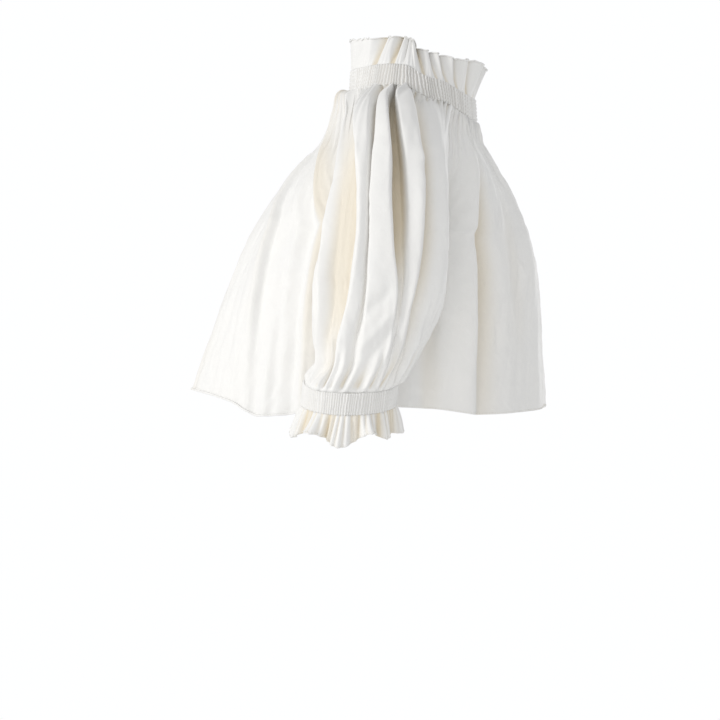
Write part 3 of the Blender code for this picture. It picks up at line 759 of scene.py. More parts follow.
def lay_out(obj: bpy.types.Object, grid: Grid, closed: bool) -> None:
    """Gives cloth a UV map in metres, along the weave, so that its threads keep their size.

    Args:
        obj: The cloth, made of four-sided faces.
        grid: Its rows of points.
        closed: Whether its rows are rings.
    """
    rows, columns = grid.shape[:2]
    along = np.zeros((rows, columns))
    along[1:] = np.cumsum(np.linalg.norm(np.diff(grid, axis=0), axis=2), axis=0)
    round_trip = np.concatenate([grid, grid[:, :1]], axis=1) if closed else grid
    middle = np.linalg.norm(np.diff(round_trip[rows // 2], axis=0), axis=1)
    across = np.concatenate([[0.0], np.cumsum(middle)])
    used = np.zeros(len(obj.data.loops), np.int32)
    obj.data.loops.foreach_get("vertex_index", used)
    col = used % columns
    on_last = np.repeat((col.reshape(-1, 4) == columns - 1).any(axis=1), 4)
    over = across[np.where(closed & (col == 0) & on_last, len(across) - 1, col)]
    layer = obj.data.uv_layers.new(name="Weave")
    layer.data.foreach_set("uv", np.stack([over, along[used // columns, col]], axis=1).astype(np.float32).ravel())


def cloth(name: str, grid: Grid, closed: bool, tint: Grid, wall: float) -> bpy.types.Object:
    """Makes a grid of points a cloth wall.

    Args:
        name: The piece's name.
        grid: Rows of points.
        closed: Whether its rows are rings.
        tint: How much shade is painted into each point's colour in the folds and between gathers, from 0 to 1.
        wall: The cloth's thickness, in metres.

    Returns:
        The piece.
    """
    rows, columns = grid.shape[:2]
    obj = mesh_object(name, grid.reshape(-1, 3), grid_faces(rows, columns, closed))
    # stores the painted shade at each point, for the finish to darken the colour with
    paint(obj, "Depth", tint)
    lay_out(obj, grid, closed)
    solid = obj.modifiers.new("Wall", "SOLIDIFY")
    solid.thickness = wall
    solid.offset = 0
    return obj


def surface_of(grid: Grid, closed: bool) -> float:
    """Adds up the area of a grid.

    Args:
        grid: Rows of points.
        closed: Whether its rows are rings.

    Returns:
        The area, in square metres.
    """
    if closed:
        grid = np.concatenate([grid, grid[:, :1]], axis=1)
    down, across = np.diff(grid, axis=0)[:, :-1], np.diff(grid, axis=1)[:-1]
    return float(np.linalg.norm(np.cross(down, across), axis=2).sum())


def rolled_edge(grid: Grid, closed: bool, radius: float, steps: int = 7) -> Grid:
    """Adds rows to a grid's last edge that roll under it, as a narrow rolled hem does.

    Args:
        grid: Rows of points.
        closed: Whether its rows are rings.
        radius: The roll's radius, in metres.
        steps: How many rows are added.

    Returns:
        The longer grid.
    """
    _, out = directions(grid, closed)
    ahead = grid[-1] - grid[-2]
    ahead = ahead / np.linalg.norm(ahead, axis=1, keepdims=True)
    inward = -out[-1]
    turns = np.radians(np.linspace(0, 250, steps + 1))[1:]
    rows = [grid[-1] + radius * (math.sin(t) * ahead + (1 - math.cos(t)) * inward) for t in turns]
    return np.concatenate([grid, np.array(rows)])


# ---------------------------------------------------------------- finishes


class Reading:
    """A socket of a node tree. Sums and products of readings add Math nodes."""

    def __init__(self, graph: "Graph", socket: bpy.types.NodeSocket) -> None:
        """Keeps the tree and the socket."""
        self.graph = graph
        self.socket = socket

    def _with(self, operation: str, first: object, second: object) -> "Reading":
        """A Math node on two values."""
        return self.graph.read("ShaderNodeMath", 0, {"operation": operation}, {0: first, 1: second})

    def __add__(self, other: object) -> "Reading":
        """This plus other."""
        return self._with("ADD", self, other)

    def __sub__(self, other: object) -> "Reading":
        """This less other."""
        return self._with("SUBTRACT", self, other)

    def __rsub__(self, other: object) -> "Reading":
        """Other less this."""
        return self._with("SUBTRACT", other, self)

    def __mul__(self, other: object) -> "Reading":
        """This times other."""
        return self._with("MULTIPLY", self, other)

    __radd__ = __add__
    __rmul__ = __mul__

    def __pow__(self, other: object) -> "Reading":
        """This to the power of other."""
        return self._with("POWER", self, other)


@dataclass
class Graph:
    """The node tree of one material or of the world."""

    tree: bpy.types.NodeTree

    def node(
        self, kind: str, settings: dict[str, object] | None = None, inputs: dict[str | int, object] | None = None
    ) -> bpy.types.Node:
        """Adds a node.

        Args:
            kind: The node's type.
            settings: Its settings. The stops of a ramp are pairs of a place and a colour.
            inputs: Values, readings or sockets for its inputs.

        Returns:
            The node.
        """
        made = self.tree.nodes.new(kind)
        for name, value in (settings or {}).items():
            if name == "stops":
                for place, colour in value[2:]:
                    made.color_ramp.elements.new(place)
                for element, (place, colour) in zip(made.color_ramp.elements, value):
                    element.position, element.color = place, colour
            else:
                setattr(made, name, value)
        for name, value in (inputs or {}).items():
            value = value.socket if isinstance(value, Reading) else value
            if isinstance(value, bpy.types.NodeSocket):
                self.tree.links.new(value, made.inputs[name])
            else:
                made.inputs[name].default_value = value
        return made

    def read(
        self,
        kind: str,
        output: str | int,
        settings: dict[str, object] | None = None,
        inputs: dict[str | int, object] | None = None,
    ) -> Reading:
        """Adds a node and reads one of its outputs."""
        return Reading(self, self.node(kind, settings, inputs).outputs[output])

    def mixed(self, share: object, first: object, second: object) -> Reading:
        """A colour between two colours."""
        settings = {"data_type": "RGBA", "blend_type": "MIX"}
        return self.read("ShaderNodeMix", 2, settings, {0: share, 6: first, 7: second})

    def noise(self, where: object, scale: float, detail: float = 2.0) -> Reading:
        """Noise of a number of cells to the metre."""
        return self.read("ShaderNodeTexNoise", "Fac", None, {"Vector": where, "Scale": scale, "Detail": detail})


def started(name: str) -> tuple[bpy.types.Material, Graph, bpy.types.Node]:
    """Starts a material.

    Args:
        name: The material's name.

    Returns:
        The material, its node tree and its shader.
    """
    made = bpy.data.materials.new(name)
    made.use_nodes = True
    return made, Graph(made.node_tree), made.node_tree.nodes["Principled BSDF"]


@dataclass(frozen=True)
class ClothFinish:
    """Matt cotton poplin: a fine plain weave and soft slubs, with warm shade painted into its base colour in the folds
    and between the gathers.
    """

    name: str = "ivory_poplin"
    light: tuple[float, float, float, float] = (0.90, 0.892, 0.868, 1)
    cool: tuple[float, float, float, float] = (0.84, 0.842, 0.835, 1)
    # painted shade: the warm dark colour that stands in for the shade and warm bounced light in the folds
    painted_shade: tuple[float, float, float, float] = (0.76, 0.685, 0.545, 1)
    roughness: float = 0.86
    sheen: float = 0.12
    specular: float = 0.25
    thread: float = 0.42 * MM
    weave_strength: float = 0.25
    weave_depth: float = 0.1 * MM
    slub_strength: float = 0.5
    slub_depth: float = 1.6 * MM

    def make(self) -> bpy.types.Material:
        """Makes the finish."""
        made, graph, shader = started(self.name)
        # how much painted shade each point of the cloth carries; it mixes the base colour towards the painted shade
        # colour
        painted_shade_share = graph.read("ShaderNodeAttribute", "Fac", {"attribute_name": "Depth"})
        place = graph.read("ShaderNodeTexCoord", "Object")
        flat = graph.read("ShaderNodeUVMap", "UV", {"uv_map": "Weave"})
        patches = graph.noise(place, 14.0, 3.0)
        pale = graph.mixed(patches, self.light, self.cool)
        colour = graph.mixed(painted_shade_share, pale, self.painted_shade)
        graph.tree.links.new(colour.socket, shader.inputs["Base Color"])
        shader.inputs["Roughness"].default_value = self.roughness
        shader.inputs["Sheen Weight"].default_value = self.sheen
        shader.inputs["Specular IOR Level"].default_value = self.specular
        waves = []
        for way in ("X", "Y"):
            settings = {"wave_type": "BANDS", "bands_direction": way, "wave_profile": "SIN"}
            inputs = {"Vector": flat, "Scale": math.pi / (10 * self.thread)}
            waves.append(graph.read("ShaderNodeTexWave", "Fac", settings, inputs))
        slubs = graph.noise(flat, 900.0, 2.0)
        weave = graph.node("ShaderNodeBump", None, {"Strength": self.weave_strength, "Distance": self.weave_depth})
        graph.tree.links.new((waves[0] * waves[1] + slubs * 0.8).socket, weave.inputs["Height"])
        crumple = graph.noise(place, 70.0, 4.0)
        soft = graph.node("ShaderNodeBump", None, {"Strength": self.slub_strength, "Distance": self.slub_depth})
        graph.tree.links.new(crumple.socket, soft.inputs["Height"])
        graph.tree.links.new(weave.outputs["Normal"], soft.inputs["Normal"])
        graph.tree.links.new(soft.outputs["Normal"], shader.inputs["Normal"])
        return made


@dataclass(frozen=True)
class ThreadFinish:
    """Sewing thread: pale twisted cotton, a little brighter than the cloth."""

    name: str = "cotton_thread"
    light: tuple[float, float, float, float] = (0.93, 0.92, 0.89, 1)
    dark: tuple[float, float, float, float] = (0.74, 0.71, 0.64, 1)
    roughness: float = 0.6

    def make(self) -> bpy.types.Material:
        """Makes the finish."""
        made, graph, shader = started(self.name)
        place = graph.read("ShaderNodeTexCoord", "Object")
        twist = graph.noise(place, 1600.0)
        graph.tree.links.new(graph.mixed(twist, self.dark, self.light).socket, shader.inputs["Base Color"])
        shader.inputs["Roughness"].default_value = self.roughness
        bump = graph.node("ShaderNodeBump", None, {"Strength": 0.3, "Distance": 0.0001, "Height": twist})
        graph.tree.links.new(bump.outputs["Normal"], shader.inputs["Normal"])
        return made


@dataclass(frozen=True)
class FloorFinish:
    """The plain pale floor."""

    name: str = "pale_floor"
    colour: tuple[float, float, float, float] = (0.86, 0.86, 0.855, 1)

    def make(self) -> bpy.types.Material:
        """Makes the finish."""
        made, graph, shader = started(self.name)
        shader.inputs["Base Color"].default_value = self.colour
        shader.inputs["Roughness"].default_value = 0.9
        return made


@dataclass
class Finishes:
    """The finishes that the pieces share."""

    poplin: bpy.types.Material = field(default_factory=lambda: ClothFinish().make())
    shirring: bpy.types.Material = field(
        default_factory=lambda: ClothFinish(
            # the last colour is the painted shade that darkens the band between its ribs
            "white_shirring", (0.90, 0.895, 0.88, 1), (0.85, 0.85, 0.84, 1), (0.50, 0.475, 0.43, 1)
        ).make()
    )


@dataclass(frozen=True)
class Cut:
    """A piece's flat cut, in metres, and what it hangs from."""

    flat: tuple[float, float]
    rests_on: tuple[str, ...]
    area: float | None = None
    held: str = "gathered"


def dress(obj: bpy.types.Object, node: str, finish: bpy.types.Material, cut: Cut) -> None:
    """Gives a cloth piece its finish, hangs it from the root and hides the CAD node that it stands for.

    Args:
        obj: The piece.
        node: The CAD node that it stands for.
        finish: Its material.
        cut: Its flat cut, which is not used.
    """
    obj.data.materials.append(finish)
    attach(obj, "root")
    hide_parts(node)
    list(cut.rests_on)


def painted_fold_shade(lift: Grid, start: float = 0.5, full: float = 19.0) -> Grid:
    """Painted shade in the fold valleys: how far each point's colour is darkened, from 0 on the crests up to 0.9 in the
    deepest valleys.
    """
    return smooth_step(start * MM, full * MM, -lift) * 0.9


def painted_gather_shade(puckers: Grid) -> Grid:
    """Painted shade between two gathers: how far each point's colour is darkened there, from 0 to 1."""
    return smooth_step(0.3, 3.6, -puckers / MM)


# ---------------------------------------------------------------- sewing


@dataclass(frozen=True)
class Stitches:
    """A row of stitches: the middle of each, the way it lies and the way out from the cloth."""

    middle: Grid
    along: Grid
    out: Grid


def unit(vectors: Grid) -> Grid:
    """The same directions, each one metre long."""
    return vectors / np.maximum(np.linalg.norm(vectors, axis=-1, keepdims=True), 1e-12)


def sewn_line(line: Grid, out: Grid, pitch: float) -> Stitches:
    """Stitches that follow a line on the cloth, end to end.

    Args:
        line: Points along the line.
        out: The way out from the cloth at each point.
        pitch: The distance from one stitch to the next, in metres.

    Returns:
        The stitches.
    """
    length = np.concatenate([[0.0], np.cumsum(np.linalg.norm(np.diff(line, axis=0), axis=1))])
    at = np.arange(pitch, length[-1] - pitch / 2, pitch)
    along = np.gradient(line, axis=0)
    middle, along, out = (
        np.stack([np.interp(at, length, values[:, axis]) for axis in range(3)], axis=1) for values in (line, along, out)
    )
    return Stitches(middle, unit(along), unit(out))


def overlocked(grid: Grid, closed: bool, pitch: float, wall: float) -> Stitches:
    """Slanted stitches over the last edge of a grid of cloth.

    Args:
        grid: Rows of points.
        closed: Whether its rows are rings.
        pitch: The distance from one stitch to the next, in metres.
        wall: The cloth's thickness, in metres.

    Returns:
        The stitches.
    """
    _, out = directions(grid, closed)
    edge, ahead, out = grid[-1], unit(grid[-1] - grid[-3]), out[-1]
    if closed:
        edge, ahead, out = (np.concatenate([values, values[:1]]) for values in (edge, ahead, out))
    line = edge + out * (wall / 2 + 0.1 * MM)
    row = sewn_line(line, out, pitch)
    downwards = sewn_line(line, ahead, pitch).out
    lean = np.where(np.arange(len(row.middle)) % 2, 0.5, -0.5)[:, None]
    return Stitches(row.middle - 0.3 * MM * downwards, unit(downwards + lean * row.along), row.out)


@dataclass
class Sewing:
    """All the stitches. One is modelled, and it is copied along every seam, edge and thread."""

    thread: float = 0.34 * MM
    length: float = 2.6 * MM
    material: bpy.types.Material = field(default_factory=lambda: ThreadFinish().make())

    def stitch(self) -> tuple[Grid, list[list[int]]]:
        """Models one stitch that lies along Z, and gives its points and its faces."""
        bpy.ops.object.select_all(action="DESELECT")
        bpy.ops.mesh.primitive_uv_sphere_add(segments=4, ring_count=3, radius=0.5, location=(0, 0, 0))
        pattern = bpy.context.active_object
        bpy.ops.object.mode_set(mode="EDIT")
        bpy.ops.mesh.select_all(action="SELECT")
        bpy.ops.transform.resize(value=(2 * self.thread, 2 * self.thread, self.length))
        bpy.ops.object.mode_set(mode="OBJECT")
        points = np.array([vertex.co[:] for vertex in pattern.data.vertices])
        faces = [list(face.vertices) for face in pattern.data.polygons]
        bpy.data.objects.remove(pattern)
        return points, faces

    def sew(self, name: str, rows: Sequence[Stitches], size: float = 1.0) -> bpy.types.Object:
        """Copies the stitch along rows of stitches, as one piece.

        Args:
            name: The piece's name.
            rows: The rows of stitches.
            size: How long its stitches are, as a share of the usual length.

        Returns:
            The piece.
        """
        points, faces = self.stitch()
        points = points * np.array([1, 1, size])
        copies, corners = [], []
        for row in rows:
            aside = unit(np.cross(row.along, row.out))
            axes = np.stack([aside, unit(np.cross(aside, row.along)), row.along], axis=1)
            copies.append(row.middle[:, None, :] + np.einsum("pk,nkd->npd", points, axes))
        placed = np.concatenate(copies)
        for i in range(len(placed)):
            corners += [[corner + i * len(points) for corner in face] for face in faces]
        piece = mesh_object(name, placed.reshape(-1, 3), corners)
        piece.data.materials.append(self.material)
        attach(piece, "root")
        return piece


# ---------------------------------------------------------------- the pieces


@dataclass
class BodyPanel:
    """The front or the back of the body, gathered into the neck band and flaring to the hem."""

    name: str
    first_seam: Callable[[Grid], Grid]
    last_seam: Callable[[Grid], Grid]
    folds: Folds
    cut: Cut
    gather_count: int
    seed: int
    form: BodyForm = field(default_factory=BodyForm)
    rows: int = 150
    columns: int = 276
    wall: float = 0.8 * MM
    pitch: float = 3.2 * MM
    width_mm: float = 520
    length_mm: float = 370
    gather_height: float = 10.0 * MM
    gather_reach: float = 62
    pucker_height: float = 3.4 * MM
    pucker_reach: float = 30
    soft_height: float = 1.0 * MM
    fine_height: float = 0.30 * MM
    hem_roll: float = 0.9 * MM
    hem_rows: int = 5
    sewn: list[Stitches] = field(default_factory=list)

    def grid(self) -> tuple[Grid, Grid]:
        """Lays the panel's folds, gathers, ripples and creases on the plain body.

        Returns:
            The points, and the shade painted at each: how far its colour is darkened in the folds and between the
            gathers.
        """
        down = np.linspace(0, 1, self.rows) ** 1.15
        across = np.broadcast_to(np.linspace(0, 1, self.columns), (self.rows, self.columns))
        first, last = self.first_seam(down[:, None]), self.last_seam(down[:, None])
        grid = self.form.point(down[:, None], first + (last - first) * across)
        at_seam = smooth_step(0, 0.03, across) * (1 - smooth_step(0.97, 1, across))
        off_band = smooth_step(0.0, 0.05, down)[:, None]
        lift, sideways = self.folds.shifts(across, down)
        lift, sideways = lift * off_band, sideways * off_band
        # painted shade: the colour darkens in the fold valleys
        painted_shade = painted_fold_shade(lift)
        far = down[:, None] * self.length_mm
        wide = across * self.width_mm
        whole, count = (0.0, 1.0), self.gather_count
        puckers = gathers(across, far, whole, count, self.seed, self.gather_height, self.gather_reach)
        puckers += gathers(across, far, whole, count * 2, self.seed + 1, self.pucker_height, self.pucker_reach)
        soft = ripples(wide, far, self.seed + 2, 7, 46, 3.2) * self.soft_height
        soft += ripples(wide, far, self.seed + 3, 7, 17, 1.8) * self.fine_height
        puckers = puckers * smooth_step(0, 0.02, down)[:, None]
        # more painted shade in the hollows between the gathers
        painted_shade = np.clip(painted_shade + 0.7 * painted_gather_shade(puckers), 0, 1)
        lift = lift + puckers + soft * off_band
        lift = lift + self.folds.creased(across, down[:, None], self.width_mm, self.length_mm)
        side, out = directions(grid, False)
        grid = grid + (out * lift[..., None] + side * sideways[..., None]) * at_seam[..., None]
        return grid, painted_shade * at_seam

    def build(self, finishes: Finishes) -> bpy.types.Object:
        """Makes and dresses the panel, and places the stitches of its seams and its hem.

        Args:
            finishes: The finishes that the pieces share.

        Returns:
            The panel.
        """
        grid, painted_shade = self.grid()
        LOG.info("%s cloth %.3f m2", self.name, surface_of(grid, False))
        _, out = directions(grid, False)
        raised = grid + out * self.wall * 0.6
        self.sewn = [sewn_line(raised[3:, column], out[3:, column], self.pitch) for column in (2, -3)]
        self.sewn.append(overlocked(grid, False, self.pitch, self.wall))
        grid = rolled_edge(grid, False, self.hem_roll, self.hem_rows)
        painted_shade = np.concatenate([painted_shade, np.repeat(painted_shade[-1:], self.hem_rows, axis=0)])
        piece = cloth(self.name, grid, False, painted_shade, self.wall)
        dress(piece, self.name.removesuffix("_cloth"), finishes.poplin, self.cut)
        return piece


@dataclass
class Sleeve:
    """A full raglan sleeve, gathered into the neck band and into the cuff."""

    side: Side
    folds: Folds
    cut: Cut
    seed: int
    form: SleeveForm = field(default_factory=SleeveForm)
    rows: int = 142
    columns: int = 300
    wall: float = 0.8 * MM
    degree_mm: float = 1.25
    length_mm: float = 360
    gather_height: float = 9.5 * MM
    gather_reach: float = 60
    pucker_height: float = 3.0 * MM
    pucker_reach: float = 26
    cuff_height: float = 12.0 * MM
    cuff_reach: float = 44
    cuff_pucker_height: float = 2.4 * MM
    cuff_pucker_reach: float = 14
    soft_height: float = 0.9 * MM
    fine_height: float = 0.30 * MM
    seen: tuple[float, float] = (-100.0, 100.0)
    seen_share: float = 0.70
    sewn: tuple[Stitches, ...] = ()

    def angles(self) -> Grid:
        """Angles of the columns, closest together where the sleeve is seen from outside."""
        even = np.arange(self.columns) / self.columns
        return np.interp(even, (0, self.seen_share, 1.0), (*self.seen, self.seen[0] + 360))

    def grid(self) -> tuple[Grid, Grid]:
        """Lays the sleeve's folds, gathers, ripples and creases on its plain left-hand form.

        Returns:
            The points, and the shade painted at each: how far its colour is darkened in the folds and between the
            gathers.
        """
        angle = self.angles()
        along = np.linspace(0, 1, self.rows)
        grid, on_neck = self.form.surface(along[:, None], angle)
        across = np.broadcast_to(angle, grid.shape[:2])
        lift, sideways = self.folds.shifts(across, along)
        from_cuff = 1 - along[:, None]
        free = smooth_step(0, 0.12, along[:, None]) * (1 - on_neck) + on_neck * smooth_step(0, 0.05, along[:, None])
        free = free * smooth_step(0, 0.07, from_cuff)
        lift, sideways = lift * free, sideways * free
        # painted shade: the colour darkens in the fold valleys
        painted_shade = painted_fold_shade(lift)
        far, near_cuff = along[:, None] * self.length_mm, from_cuff * self.length_mm
        wide = across * self.degree_mm
        neck = (-self.form.neck_edge, self.form.neck_edge)
        puckers = gathers(across, far, neck, 20, self.seed, self.gather_height, self.gather_reach)
        puckers += gathers(across, far, neck, 46, self.seed + 1, self.pucker_height, self.pucker_reach)
        puckers = puckers * on_neck * smooth_step(0, 0.02, along[:, None])
        round_cuff = (self.seen[0], self.seen[0] + 360)
        cuffed = gathers(across, near_cuff, round_cuff, 28, self.seed + 2, self.cuff_height, self.cuff_reach)
        cuffed += gathers(
            across, near_cuff, round_cuff, 80, self.seed + 3, self.cuff_pucker_height, self.cuff_pucker_reach
        )
        cuffed = cuffed * smooth_step(0, 0.02, from_cuff)
        # more painted shade in the hollows between the neck and cuff gathers
        painted_shade = np.clip(painted_shade + 0.85 * painted_gather_shade(puckers + cuffed), 0, 1)
        soft = ripples(wide, far, self.seed + 4, 7, 42, 3.0) * self.soft_height
        soft += ripples(wide, far, self.seed + 5, 7, 16, 1.8) * self.fine_height
        creases = self.folds.creased(across, along[:, None], self.degree_mm, self.length_mm)
        lift = lift + puckers + cuffed + (soft + creases) * free
        side, out = directions(grid, True)
        return grid + out * lift[..., None] + side * sideways[..., None], painted_shade

    def build(self, finishes: Finishes) -> bpy.types.Object:
        """Makes and dresses the sleeve. Its seams are stitched on the panels.

        Args:
            finishes: The finishes that the pieces share.

        Returns:
            The sleeve.
        """
        grid, painted_shade = self.grid()
        if self.side is Side.RIGHT:
            grid, painted_shade = (grid * np.array([-1, 1, 1]))[:, ::-1], painted_shade[:, ::-1]
        node = f"{self.side.name.lower()}_sleeve"
        LOG.info("%s cloth %.3f m2", node, surface_of(grid, True))
        piece = cloth(f"{node}_cloth", grid, True, painted_shade, self.wall)
        dress(piece, node, finishes.poplin, self.cut)
        return piece


@dataclass
class ShirredBand:
    """A band drawn in by elastic threads, with soft uneven ribs over a plain back."""

    name: str
    node: str
    point: Callable[[Grid, Grid, Grid], Grid]
    ribs: int
    height: float
    start: float
    cut: Cut
    seed: int
    thread_rows: int = 6
    wall: float = 1.6 * MM
    rib_height: float = 2.8 * MM
    thread_dip: float = 0.25 * MM
    # how strongly shade is painted into the grooves between the ribs
    painted_groove_strength: float = 0.6
    back_out: float = 0.25 * MM
    edge_out: float = 1.05 * MM
    slant: float = 4.0
    per_rib: int = 8
    mirror: bool = False
    sewn: list[Stitches] = field(default_factory=list)

    def rings(self) -> tuple[Grid, Grid]:
        """Draws the band's section round its axis, with ribs on its face and a plain back.

        Returns:
            The face, edge, back and edge as rings one after another, and the shade painted
            in the grooves between two ribs: how far each point's colour is darkened there.
        """
        draw = np.random.default_rng(self.seed)
        count = self.ribs * self.per_rib
        turn = np.arange(count) / count
        wander = sum(draw.uniform(0.4, 0.9) * np.sin(2 * math.pi * (k * turn + draw.uniform())) for k in (3, 7, 13, 22))
        tall = 0.85 + 0.2 * sum(
            draw.uniform(0.4, 1.0) * np.sin(2 * math.pi * (k * turn + draw.uniform())) for k in (5, 11, 23, 37)
        )
        share = np.linspace(0, 1, 3 * self.thread_rows + 1)[:, None]
        slant = self.slant * np.sin(2 * math.pi * (4 * turn + 0.15)) * (share - 0.5)
        slip = slant + 0.30 * np.sin(2 * math.pi * (2.3 * share + 11 * turn))
        slip = slip + 0.25 * np.sin(2 * math.pi * (1.1 * share + 29 * turn))
        phase = 2 * math.pi * self.ribs * turn + 2 * wander + slip
        rib = self.rib_height * np.clip(tall, 0.4, 1.35) * (1 - np.abs(np.cos(phase / 2)) ** 1.5)
        drawn = np.abs(np.sin(math.pi * share * self.thread_rows)) ** 0.6
        face = self.wall + rib * (0.75 + 0.25 * drawn) - self.thread_dip * (1 - drawn)
        rows = [self.point(turn * 360, self.start + self.height * s, f) for s, f in zip(share[:, 0], face)]
        plain, edge = np.full(count, self.back_out), np.full(count, self.edge_out)
        rows.append(self.point(turn * 360, self.start + self.height, edge))
        rows += [self.point(turn * 360, self.start + self.height * s, plain) for s in (0.97, 0.5, 0.03)]
        rows.append(self.point(turn * 360, np.full(count, self.start), edge))
        # painted shade: the colour darkens where the rib's face sinks into a groove
        painted_groove_shade = np.concatenate([self.painted_groove_strength * (1 - rib / self.rib_height) ** 2, np.zeros((5, count))])
        return np.array(rows), painted_groove_shade

    def threads(self, rings: Grid) -> Stitches:
        """The shirring threads, where they show in the grooves between the ribs.

        Args:
            rings: The band's rings.

        Returns:
            A short stitch for each groove in each row of thread.
        """
        back = -3
        _, out = directions(rings, True)
        flip = -1.0 if self.mirror else 1.0
        middle, along, outs = [], [], []
        for row in range(3, 3 * self.thread_rows, 3):
            ring = rings[row]
            proud = np.sum((ring - rings[back]) * out[back] * -flip, axis=1)
            lowest = (proud < np.roll(proud, 1)) & (proud <= np.roll(proud, -1))
            across = unit(np.roll(ring, -2, axis=0) - np.roll(ring, 2, axis=0))
            middle.append(ring[lowest] + out[row][lowest] * flip * 0.15 * MM)
            along.append(across[lowest])
            outs.append(out[row][lowest] * flip)
        return Stitches(np.concatenate(middle), np.concatenate(along), np.concatenate(outs))

    def build(self, finishes: Finishes) -> bpy.types.Object:
        """Makes and dresses the band, and places its shirring threads.

        Args:
            finishes: The finishes that the pieces share.

        Returns:
            The band.
        """
        rings, painted_groove_shade = self.rings()
        rows, columns = rings.shape[:2]
        faces = grid_faces(rows, columns, True)
        closing = (faces[: columns] % columns) + np.array([rows - 1, 0, 0, rows - 1]) * columns
        if self.mirror:
            rings = rings * np.array([-1, 1, 1])
        points = rings.reshape(-1, 3)
        piece = mesh_object(self.name, points, np.concatenate([faces, closing]))
        # stores the painted groove shade for the finish to darken the colour with
        paint(piece, "Depth", painted_groove_shade)
        bpy.ops.object.select_all(action="DESELECT")
        bpy.context.view_layer.objects.active = piece
        piece.select_set(True)
        bpy.ops.object.mode_set(mode="EDIT")
        bpy.ops.mesh.select_all(action="SELECT")
        bpy.ops.mesh.normals_make_consistent(inside=False)
        bpy.ops.object.mode_set(mode="OBJECT")
        lay_out(piece, rings, True)
        self.sewn = [self.threads(rings)]
        dress(piece, self.node, finishes.shirring, self.cut)
        return piece


# The neck ruffle's folds: an angle round the neck, how far its free edge swings out there in
# millimetres, and how many degrees the fold leans round the neck at its free edge.
NECK_RUFFLE_FOLDS = (
    (-90, 2, 0), (-80, 4, 0), (-70, 2, 0), (-58, 4, 0), (-48, 4, -6), (-41, -13, -6), (-35, 4, -1), (-29, 4, -5),
    (-27, 3, -5), (-22, -17, -6), (-17, 4, 0), (-12, 3, 0), (-10.5, -5, 0), (-9, 3, 0), (-4, 3, 0), (2.5, 7, -4),
    (9, -13, 0), (14, 6, 3), (17, 5, 3), (22, -9, 0), (27, 6, 2), (33, -9, 0), (38, 7, 2), (45, -10, 0), (51, 8, 0),
    (60, -11, 0), (67, 8, 2), (76, -8, 0), (84, 6, 0), (93, -8, 0), (101, 6, -1), (110, -8, 0), (118, 7, 0),
    (127, -8, 0), (135, 6, 1), (143, -8, 0), (151, 5, -1), (159, -7, 0), (167, 4, 2), (175, -9, 0),
    (183, 4, -1), (190, -5, 0), (197, 5, 2), (205, -11, 0), (213, 4, -1), (220, -6, 0), (228, 4, 1),
    (237, -8, 0), (246, 3, 0), (254, -4, 0), (262, 3, 0),
)


@dataclass(frozen=True)
class NeckRuffleForm:
    """The standing ruffle above the neck band."""

    neck: NeckForm = NeckForm()
    base_out: float = 1.1 * MM
    overlap: float = 1.6 * MM
    pucker_depth: float = 0.8 * MM
    ripple_height: float = 0.9 * MM
    folds: tuple[tuple[float, float, float], ...] = NECK_RUFFLE_FOLDS

    def swing(self, angle: Grid) -> Grid:
        """How far the free edge swings out.

        Args:
            angle: Angles round the neck.

        Returns:
            The swings, in metres.
        """
        places = [a for a, _, _ in self.folds] + [self.folds[0][0] + 360]
        swings = [s for _, s, _ in self.folds] + [self.folds[0][1]]
        return eased(places, swings, angle) * MM

    def painted_shade(self, angle: Grid, beyond: Grid) -> Grid:
        """Painted shade where the ruffle folds inwards: how far each point's colour is darkened, less towards the free
        edge.
        """
        return smooth_step(1 * MM, 14 * MM, -self.swing(angle - 90.0)) * (1 - 0.3 * beyond)

    def point(self, angle: Grid, beyond: Grid) -> Grid:
        """Points of the standing ruffle.

        Args:
            angle: Angles round the neck, from the wearer's front.
            beyond: Places from the band at 0 to the free edge at 1.

        Returns:
            The points.
        """
        angle = angle - 90.0
        places = [a for a, _, _ in self.folds] + [self.folds[0][0] + 360]
        leans = [t for _, _, t in self.folds] + [self.folds[0][2]]
        swing = self.swing(angle)
        lean = eased(places, leans, angle)
        at = angle + lean * beyond**1.2
        base = self.neck.point(at, self.neck.band_height / 2 - self.overlap, self.base_out)
        out_x, out_y = self.neck.outward(at)
        behind = np.clip(np.sin(np.radians(at)), 0, 1)
        pucker = self.pucker_depth * np.sin(np.radians(angle) * 96) * (1 - beyond) ** 2 * smooth_step(0, 0.1, beyond)
        level = swing * beyond**0.8 - self.neck.read(3, at) * beyond**1.2 + pucker
        ripple = self.ripple_height * np.sin(np.radians(angle) * 41 + 1.0) * beyond**2
        drop = 0.35 * np.abs(swing) * behind * beyond
        x = base[..., 0] + level * out_x
        y = base[..., 1] + level * out_y
        z = base[..., 2] + (self.neck.read(2, at) + self.overlap + ripple) * beyond - drop
        return np.stack(np.broadcast_arrays(x, y, z), axis=-1)


# The cuff ruffle's sweep: an angle round the cuff, how far down its free edge hangs there as a
# share of its height, and how far it swings out in millimetres.
CUFF_RUFFLE_SWEEP = (
    (-100, 0.90, 4), (-86, 0.98, 9), (-72, 1.08, 12), (-54, 0.80, 2), (-38, 0.62, 14), (-22, 0.85, 3),
    (-6, 1.12, 13), (10, 0.86, 4), (25, 0.52, 16), (36, 0.80, 2), (47, 1.00, 9), (60, 0.84, 3), (84, 1.05, 12),
    (104, 0.85, 3), (124, 1.05, 12), (143, 0.72, 4), (162, 1.02, 13), (182, 0.76, 3), (201, 1.08, 12),
    (222, 0.74, 4), (243, 1.00, 11),
)


